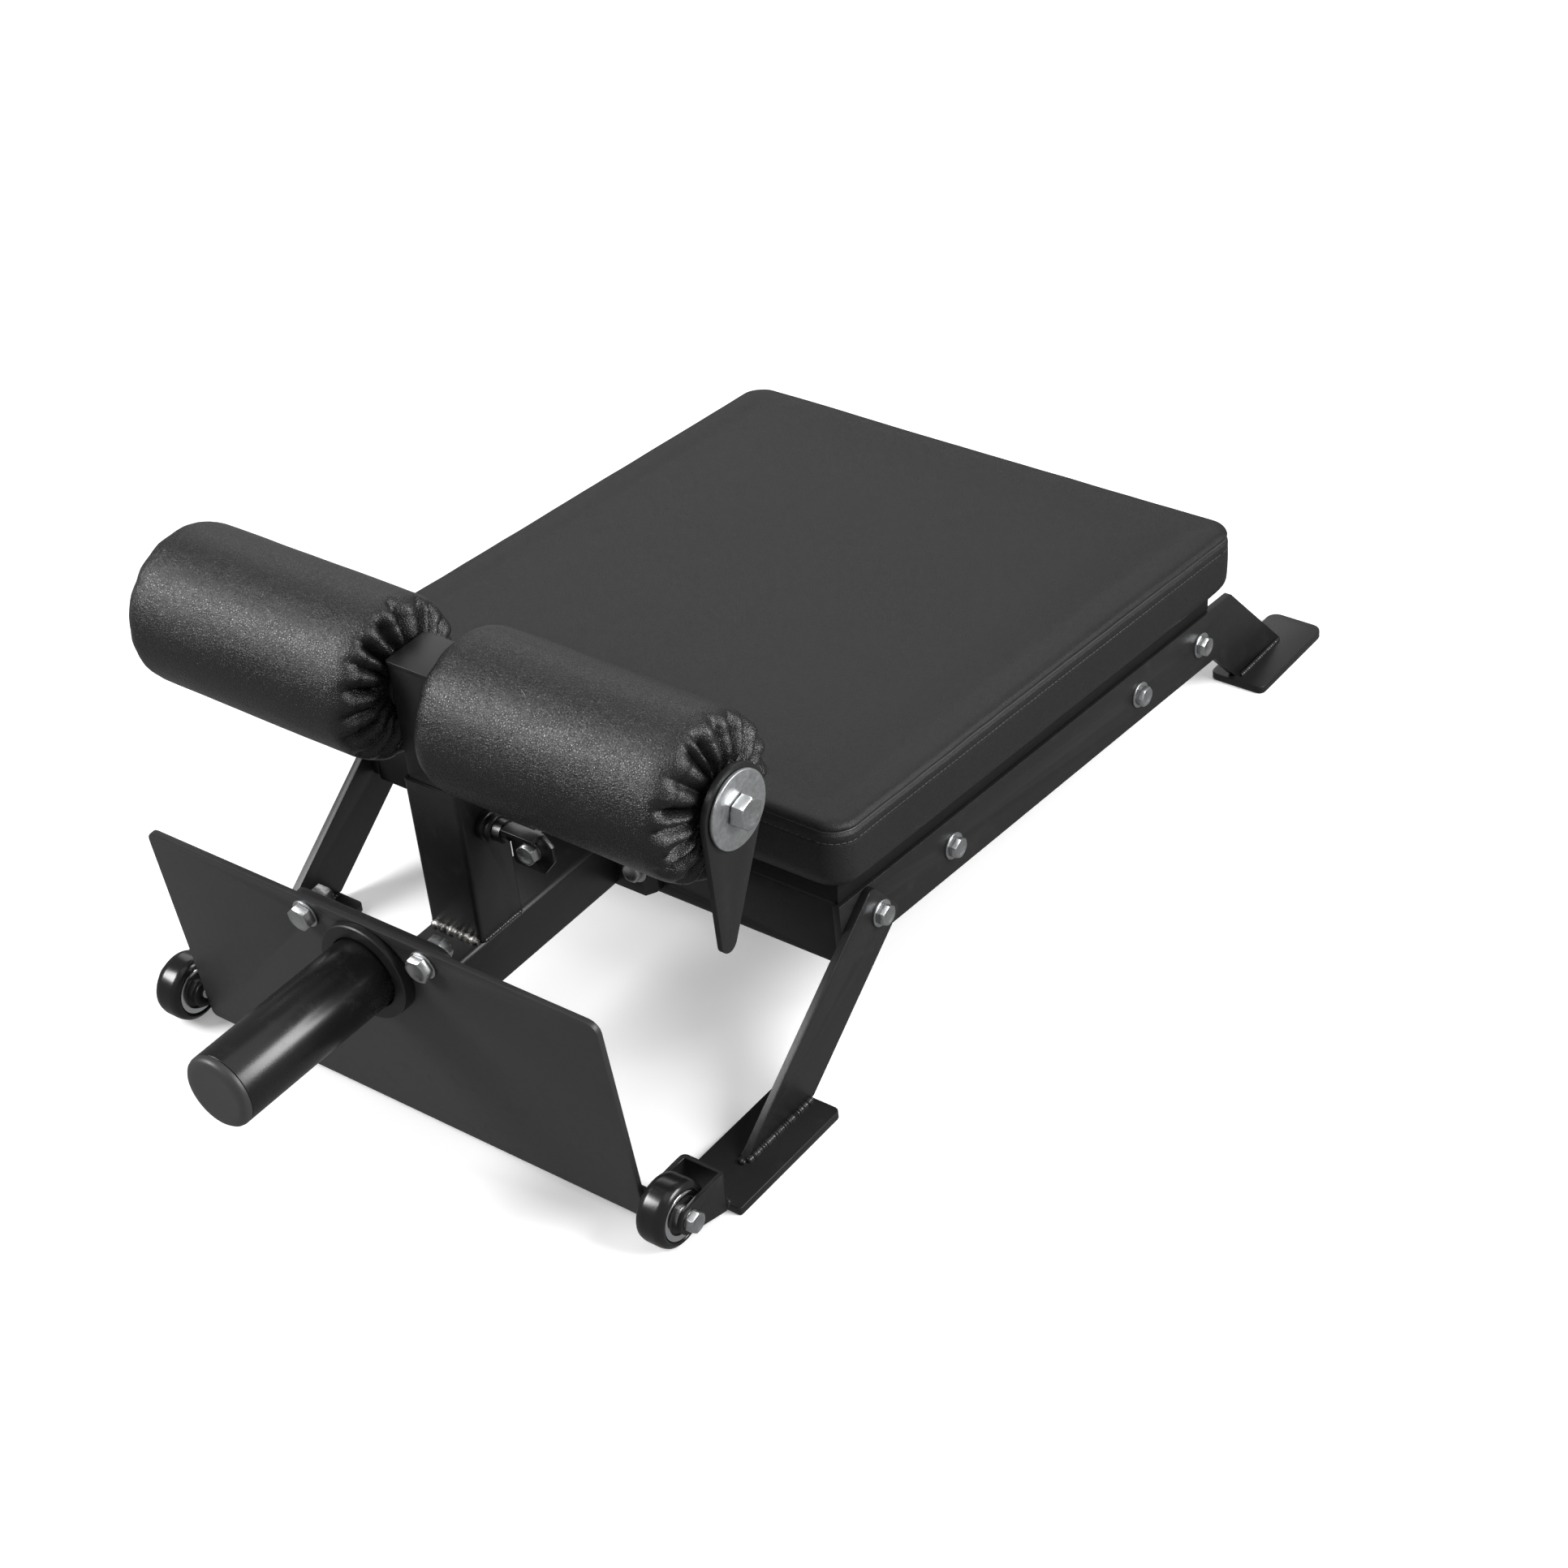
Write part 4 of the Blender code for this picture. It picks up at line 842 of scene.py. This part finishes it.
def outline_distance(x, y):
    """How far a point is outside the seat's outline, negative inside it, and the way out."""
    over_x = abs(x) - (SEAT_HALF - SEAT_CORNER)
    over_y = abs(y) - (SEAT_RUN - SEAT_CORNER)
    side_x, side_y = math.copysign(1.0, x), math.copysign(1.0, y)
    if over_x > 0.0 and over_y > 0.0:
        away = math.hypot(over_x, over_y)
        return away - SEAT_CORNER, Vector((side_x * over_x, side_y * over_y, 0.0)) / away
    if over_x > over_y:
        return over_x - SEAT_CORNER, Vector((side_x, 0.0, 0.0))
    return over_y - SEAT_CORNER, Vector((0.0, side_y, 0.0))


def inside_share(co):
    """0 on the wall and the rounded edge, rising to 1 over the middle of the top."""
    share = ramp((-outline_distance(co.x, co.y)[0] - 0.010) / 0.060)
    return ease(share) if co.z > 0.0 else 0.0


def draw_edge_tight(pad):
    """Pulls the cover tight over the foam's upper edge, with each side drawn in between its corners."""
    top = SEAT_THICK / 2.0
    for v in pad.data.vertices:
        away, out = outline_distance(v.co.x, v.co.y)
        if away < -0.030:
            continue
        along = v.co.y / SEAT_RUN if abs(out.x) > 0.99 else v.co.x / SEAT_HALF
        if max(abs(out.x), abs(out.y)) > 0.99:
            away += SIDE_PULL * max(0.0, 1.0 - along * along)
        beyond, above = away + SEAT_EDGE, v.co.z - (top - SEAT_EDGE)
        if beyond > 0.0 and above > 0.0:
            reach = math.hypot(beyond, above)
            v.co += (out * beyond + UP * above) * ((SEAT_EDGE - reach) / reach)
        elif above > 0.0:
            v.co.z += (top - v.co.z) * ease(max(0.0, 1.0 + beyond / 0.024))
        elif beyond > 0.0:
            hold = ramp((v.co.z + top - 0.005) / 0.010)
            swell = 0.0007 * math.sin(math.pi * min(1.0, -above / 0.040)) * (1.0 + noise.noise(v.co * 9.0))
            v.co += out * (swell - away) * hold


def seat_cushion():
    """The seat's cover over its foam: a flat panel sewn to a wall band just under the rounded top edge."""
    slack, top_bevel, bottom_bevel = 0.0022, 0.0060, 0.0070
    bottom = -SEAT_THICK / 2.0
    stand_back()
    size = (2.0 * (SEAT_HALF - slack), 2.0 * (SEAT_RUN - slack), SEAT_THICK - slack)
    bpy.ops.mesh.primitive_cube_add(size=1.0, location=(0.0, 0.0, -slack / 2.0), scale=size)
    pad = settle(bpy.context.object, "seat_cushion_cover")
    work_on(pad)
    pick(pad, "edges", lambda e: abs(e.verts[0].co.z - e.verts[1].co.z) > 0.01)
    bpy.ops.mesh.bevel(offset=SEAT_CORNER, segments=8)
    pick(pad, "edges", lambda e: min(v.co.z for v in e.verts) > 0.01 and abs(e.calc_face_angle(0.0)) > 1.0)
    bpy.ops.mesh.bevel(offset=top_bevel, segments=4)
    pick(pad, "edges", lambda e: max(v.co.z for v in e.verts) < -0.01 and abs(e.calc_face_angle(0.0)) > 1.0)
    bpy.ops.mesh.bevel(offset=bottom_bevel, segments=3)
    stand_back()
    apply_modifier(pad, "REMESH", mode="VOXEL", voxel_size=0.005)
    fill_with_foam(pad, lambda co: co.z < bottom + 0.004, FOAM_PRESSURE, 0.0030, freedom=inside_share)
    apply_modifier(pad, "SUBSURF", levels=1, render_levels=1)
    draw_edge_tight(pad)
    work_on(pad)
    for away in (-0.0030, -0.0020, -0.0012, -0.0005, 0.0005, 0.0012, 0.0020, 0.0030, 0.0040, 0.0050):
        cut_round(SEAM_LEVEL + away)
    for away in (-0.0014, 0.0, 0.0014):
        cut_round(STITCH_LEVEL + away)
    stand_back()
    draw_edge_tight(pad)
    pad.data.update()
    seam_sink, seam_reach, stitch_sink, stitch_reach = 0.0019, 0.0026, 0.0005, 0.0014
    normals = [v.normal.copy() for v in pad.data.vertices]
    for v, normal in zip(pad.data.vertices, normals):
        if Vector((normal.x, normal.y)).length < 0.25:
            continue
        flat = outline_distance(v.co.x, v.co.y)[1]
        seam = abs(v.co.z - SEAM_LEVEL)
        stitch = abs(v.co.z - STITCH_LEVEL)
        sink = seam_sink * max(0.0, 1.0 - seam / seam_reach) ** 1.4
        sink += stitch_sink * max(0.0, 1.0 - stitch / stitch_reach)
        pucker = noise.noise(Vector((v.co.x * 38.0, v.co.y * 38.0, 7.0)))
        sink += 0.00035 * pucker * max(0.0, 1.0 - seam / 0.010)
        low_roll = max(0.0, (-v.co.z - 0.012) / 0.014)
        sink += 0.0011 * low_roll * low_roll
        v.co -= flat * sink
    for v in pad.data.vertices:
        if v.co.z > 0.0:
            broad = noise.noise(v.co * 11.0) * 0.0007
            fine = noise.noise(v.co * 34.0 + Vector((3.0, 0.0, 0.0))) * 0.00018
            v.co.z += (broad + fine) * min(1.0, v.co.z / 0.02)
    return pad


def wall_points(pad, level, pitch):
    """Points and outward normals on the pad's wall, one after another round it at a fixed height."""
    tree = BVHTree.FromObject(pad, bpy.context.evaluated_depsgraph_get())
    stand_off, reach = 0.02, 0.06
    path = []
    for quarter in range(4):
        turn = Matrix.Rotation(quarter * math.pi / 2.0, 3, "Z")
        wide, deep = (SEAT_HALF, SEAT_RUN) if quarter % 2 == 0 else (SEAT_RUN, SEAT_HALF)
        straight = 2.0 * (deep - SEAT_CORNER)
        for i in range(int(straight / pitch)):
            spot = Vector((wide + stand_off, -deep + SEAT_CORNER + pitch * (i + 0.5), level))
            path.append((turn @ spot, turn @ -RIGHTWARD))
        for i in range(int(SEAT_CORNER * math.pi / 2.0 / pitch)):
            angle = (i + 0.5) * pitch / SEAT_CORNER
            out = Vector((math.cos(angle), math.sin(angle), 0.0))
            corner = Vector((wide - SEAT_CORNER, deep - SEAT_CORNER, level))
            path.append((turn @ (corner + out * (SEAT_CORNER + stand_off)), turn @ -out))
    found = [tree.ray_cast(start, inward, reach)[:2] for start, inward in path]
    return [(hit, normal) for hit, normal in found if hit is not None]


def stitch_row(name, pad, level, pitch, length, radius, inset):
    """Short threads laid on the wall of the pad, one after another, at a fixed height."""
    stand_back()
    bpy.ops.mesh.primitive_cylinder_add(vertices=6, radius=radius, depth=length)
    pattern = settle(bpy.context.object, name + "_pattern")
    work_on(pattern)
    pick(pattern, "faces", lambda f: abs(f.normal.z) > 0.9)
    bpy.ops.mesh.inset(thickness=radius * 0.5, depth=radius * 0.5)
    stand_back()
    threads = []
    for hit, normal in wall_points(pad, level, pitch):
        along = normal.cross(UP).normalized()
        basis = Matrix((normal.cross(along), normal, along)).transposed().to_4x4()
        threads.append(copy_to(pattern, name + "_thread", Matrix.Translation(hit - normal * inset) @ basis))
    bpy.data.objects.remove(pattern, do_unlink=True)
    return join(threads, name)


def seam_welt(name, pad, level, radius):
    """The folded lip of leather where the top panel meets the wall band, as a thin line round the pad."""
    path = []
    for hit, normal in wall_points(pad, level, 0.0030):
        flat = Vector((normal.x, normal.y, 0.0)).normalized()
        uneven = noise.noise(hit * 60.0) * 0.00012
        path.append(hit - flat * (radius * 0.25) + UP * uneven)
    curve, spline = round_line(name, path, radius, 2)
    spline.use_cyclic_u = True
    return as_mesh(name, curve)


cushion = seat_cushion()
stitches = stitch_row("seat_cushion_stitching", cushion, STITCH_LEVEL, pitch=0.0042, length=0.0030,
                      radius=0.00034, inset=0.00005)
welt = seam_welt("seat_cushion_seam", cushion, SEAM_LEVEL, radius=0.0008)
seat_frame = Matrix.Translation(bounds_of("seat_cushion")[2]) @ Matrix.Rotation(-DECLINE, 4, "X")
for sewn in (cushion, welt, stitches):
    sewn.data.transform(seat_frame)
    shade(sewn, 60.0)
hand_over(cushion, "frame", SEAT_LEATHER, ["seat_cushion"])
hand_over(stitches, "frame", THREAD)
# The welt takes the lightened leather, a painted highlight along the seam.
hand_over(welt, "frame", WELT_LEATHER_PAINTED_HIGHLIGHT)


ROLLER_HUB = 0.0162                # the cover's hole, round the core
GATHER_R = 0.0300                  # the cord that gathers the cover lies here
END_R = 0.0425                     # the gathered end turns into its shoulder here
END_DROP, SHOULDER = 0.0050, 0.0160
BACK_ROUND = 0.0165                # rounding of the end that is sewn flat
COVER_SLACK = 0.0007


def cover_outline(radius, length):
    """The cover's points of (radius, distance), from its gathered end to its flat one."""
    lines = []
    for i in range(6):
        lines.append((ROLLER_HUB + (GATHER_R - ROLLER_HUB) * i / 6.0, length - 0.0030 + 0.0016 * i / 6.0))
    for i in range(8):
        share = i / 8.0
        lines.append((GATHER_R + (END_R - GATHER_R) * share, length - 0.0014 - 0.0036 * share ** 1.6))
    for i in range(13):
        angle = math.radians(90.0 * i / 12.0)
        lines.append((END_R + (radius - END_R) * math.sin(angle),
                      length - END_DROP - SHOULDER * (1.0 - math.cos(angle))))
    wall_end = length - END_DROP - SHOULDER
    count = 56
    for i in range(1, count):
        lines.append((radius, wall_end - (wall_end - BACK_ROUND) * i / count))
    for i in range(10):
        angle = math.radians(90.0 * i / 9.0)
        lines.append((radius - BACK_ROUND * (1.0 - math.cos(angle)), BACK_ROUND * (1.0 - math.sin(angle))))
    flat_r = radius - BACK_ROUND
    for i in range(1, 7):
        lines.append((flat_r - (flat_r - ROLLER_HUB) * i / 6.0, 0.0006 * i / 6.0))
    return [(r - COVER_SLACK if r > 0.04 else r, h) for r, h in lines]


def roller_cover(side):
    """Foam roller in a leather sleeve: sewn flat at one end, gathered on a cord at the other."""
    node = "roller_pad_" + side
    start, end, axis = along_x(node)
    radius = radius_of(node) - 0.0006
    profile = [(r, start + h) for r, h in cover_outline(radius, end - start)]
    cover = turned(node + "_cover", profile, axis, RIGHTWARD, 224)
    fill_with_foam(cover, lambda co: math.hypot(co.y - axis.y, co.z - axis.z) < 0.031, FOAM_PRESSURE,
                   0.0012, frames=12)

    chance = random.Random(5 if side == "right" else 23)
    pleats = 19 if side == "right" else 18
    valley = [TAU * (k + chance.uniform(-0.26, 0.26)) / pleats for k in range(pleats)]
    depth = [chance.uniform(0.0042, 0.0088) for _ in range(pleats)]
    onset = [chance.uniform(-0.0035, 0.0040) for _ in range(pleats)]
    twist = [chance.uniform(-0.10, 0.10) for _ in range(pleats)]
    back_lobes = [TAU * (k + chance.uniform(-0.3, 0.3)) / 13 for k in range(13)]
    seed = Vector((0.0, 0.0, 9.0 if side == "right" else 31.0))
    normals = [v.normal.copy() for v in cover.data.vertices]
    for v, normal in zip(cover.data.vertices, normals):
        y, z = v.co.y - axis.y, v.co.z - axis.z
        r = math.hypot(y, z)
        angle = math.atan2(z, y) % TAU
        from_end = end - v.co.x
        walk = max(0.0, from_end) - 0.4 * max(0.0, END_R - r)
        k = max((i for i in range(pleats) if valley[i] <= angle), default=pleats - 1)
        nxt = (k + 1) % pleats
        span = (valley[nxt] - valley[k]) % TAU
        share = ((angle - valley[k]) % TAU) / span
        inner = ramp((radius - r) / 0.022)
        move = 0.0
        if from_end < 0.030:
            for owner, u in ((k, share), (nxt, 1.0 - share)):
                rise = ease(ramp((0.0150 + onset[owner] - walk) / 0.0100))
                fade = ramp((r - 0.0200) / 0.0100)
                bent = ramp(u + twist[owner] * inner)
                groove = max(0.0, 1.0 - bent / 0.44)
                move -= depth[owner] * rise * fade * groove ** 1.7
            swell = ramp((0.0165 - walk) / 0.010) * ramp((r - 0.022) / 0.01)
            move += 0.0016 * swell * math.sin(math.pi * share)
            move += 0.00055 * swell * noise.noise(Vector((angle * 9.0, r * 60.0, 4.0)) + seed)
        from_back = v.co.x - start
        if from_back < 0.026 and r > 0.024:
            near = min(abs((angle - lobe + math.pi) % TAU - math.pi) for lobe in back_lobes)
            hold = max(0.0, 1.0 - from_back / 0.026)
            move -= 0.0009 * hold * max(0.0, 1.0 - near / 0.20)
        broad = noise.noise(Vector((v.co.x * 13.0, angle * 1.6, r * 20.0)) + seed)
        fine = noise.noise(Vector((v.co.x * 42.0, angle * 5.0, r * 30.0)) + seed)
        if r > radius - 0.008:
            move += broad * 0.0006 + fine * 0.00016
        if r > 0.0200:
            v.co += normal * move
    for v in cover.data.vertices:
        v.co.x = min(max(v.co.x, start + 0.0002), end + 0.0030)
    dress(cover, node, ROLLER_LEATHER, smooth=75.0)


for side, _ in SIDES:
    roller_cover(side)

dress(copy_of_node("seat_board", "seat_board_ply"), "seat_board", PLYWOOD, 0.0006, smooth=30.0)


# ---------------------------------------------------------------- welds
def weld_bead(name, start, end, radius, pitch, seed, roughness=0.0, finish=BEAD_COAT_PAINTED_HIGHLIGHT):
    """A run of weld: a bead whose ripples follow one another along the joint."""
    chance = random.Random(seed)
    start, end = Vector(start), Vector(end)
    total = (end - start).length
    count = max(8, int(total / (pitch / 4.0)))
    curve, spline = round_line(name, [start.lerp(end, i / count) for i in range(count + 1)], radius, 3)
    curve.use_fill_caps = True
    for i, point in enumerate(spline.points):
        along = total * i / count
        ripple = abs(math.sin(math.pi * (along / pitch)))
        taper = min(1.0, (along + 0.0008) / 0.0030, (total - along + 0.0008) / 0.0030)
        point.radius = (0.80 + 0.26 * ripple + chance.uniform(-0.07, 0.07)) * (0.45 + 0.55 * taper)
    bead = as_mesh(name, curve)
    normals = [v.normal.copy() for v in bead.data.vertices]
    for v, normal in zip(bead.data.vertices, normals):
        v.co += normal * noise.noise(v.co * 420.0 + Vector((seed, 0.0, 0.0))) * (0.00022 + roughness)
    shade(bead, 70.0)
    return hand_over(bead, "frame", finish)


BEAD_LIFT = 0.0006                 # a bead's line stands this far off the steel it joins
sleeve_low, sleeve_high, _ = bounds_of("upright_sleeve")
beam_top = sleeve_low.z
for side, s in SIDES:
    plate_low, plate_high, _ = bounds_of("base_plate_" + side)
    leg_low, leg_high, _ = bounds_of("front_leg_" + side)
    outer_x, inner_x = (leg_high.x, leg_low.x) if s > 0 else (leg_low.x, leg_high.x)
    foot = [v.co for v in nodes["front_leg_" + side].data.vertices if v.co.z < leg_low.z + 0.0005]
    foot_front, foot_rear = min(c.y for c in foot), max(c.y for c in foot)
    z = plate_high.z + BEAD_LIFT
    x = outer_x + s * BEAD_LIFT
    weld_bead("leg_weld_outer_" + side, (x, foot_front + 0.001, z), (x, foot_rear - 0.003, z),
              0.0027, 0.0023, 3)
    y = foot_front - BEAD_LIFT
    weld_bead("leg_weld_front_" + side, (inner_x, y, z), (outer_x, y, z), 0.0024, 0.0020, 4, 0.0002)
    x = inner_x - s * BEAD_LIFT
    weld_bead("leg_weld_inner_" + side, (x, foot_front + 0.003, z), (x, foot_rear - 0.003, z),
              0.0017, 0.0023, 5)

    fork_low, fork_high, _ = bounds_of("wheel_fork_" + side)
    y = plate_low.y
    weld_bead("fork_weld_top_" + side, (fork_low.x + 0.004, y + BEAD_LIFT, z),
              (fork_high.x - 0.004, y + BEAD_LIFT, z), 0.0019, 0.0022, 6)
    x = (fork_high.x if s > 0 else fork_low.x) - s * 0.0022
    weld_bead("fork_weld_corner_" + side, (x, y, 0.0036), (x, y, 0.0105), 0.0022, 0.0030, 7, 0.0003)

    _, rear_foot_high, _ = bounds_of("rear_foot_" + side)
    ends = [v.co for v in nodes["side_rail_" + side].data.vertices if v.co.z < rear_foot_high.z + 0.0012]
    rear_front, rear_back = min(c.y for c in ends), max(c.y for c in ends)
    z = rear_foot_high.z + BEAD_LIFT
    out_x = s * (max(abs(c.x) for c in ends) + 0.0004)
    in_x = s * (min(abs(c.x) for c in ends) - 0.0004)
    for place, x, seed in (("outer", out_x, 8), ("inner", in_x, 9)):
        weld_bead("rear_weld_%s_%s" % (place, side), (x, rear_front + 0.002, z), (x, rear_back - 0.002, z),
                  0.0018, 0.0023, seed)
    x = (sleeve_high.x if s > 0 else sleeve_low.x) * 0.985
    z = beam_top + 0.0002
    weld_bead("upright_weld_side_" + side, (x, sleeve_low.y + 0.002, z), (x, sleeve_high.y - 0.002, z),
              0.0017, 0.0024, 10)

y, z = sleeve_low.y - 0.0007, beam_top + 0.0010
weld_bead("upright_weld_front", (sleeve_low.x + 0.003, y, z), (sleeve_high.x - 0.002, y, z),
          0.0033, 0.0047, 13, 0.0014, BARE_WELD)
y, z = sleeve_high.y + 0.0005, beam_top + 0.0004
weld_bead("upright_weld_rear", (sleeve_low.x + 0.003, y, z), (sleeve_high.x - 0.003, y, z),
          0.0019, 0.0024, 14)

# ---------------------------------------------------------------- floor
FLOOR_SIZE, FLOOR_DROP = 60.0, 0.0002
stand_back()
bpy.ops.mesh.primitive_plane_add(size=FLOOR_SIZE, location=(0.0, 0.0, -FLOOR_DROP))
floor = bpy.context.object
floor.name = "studio_floor"
floor.data.materials.append(floor_paper("floor_paper"))
floor.visible_glossy = False
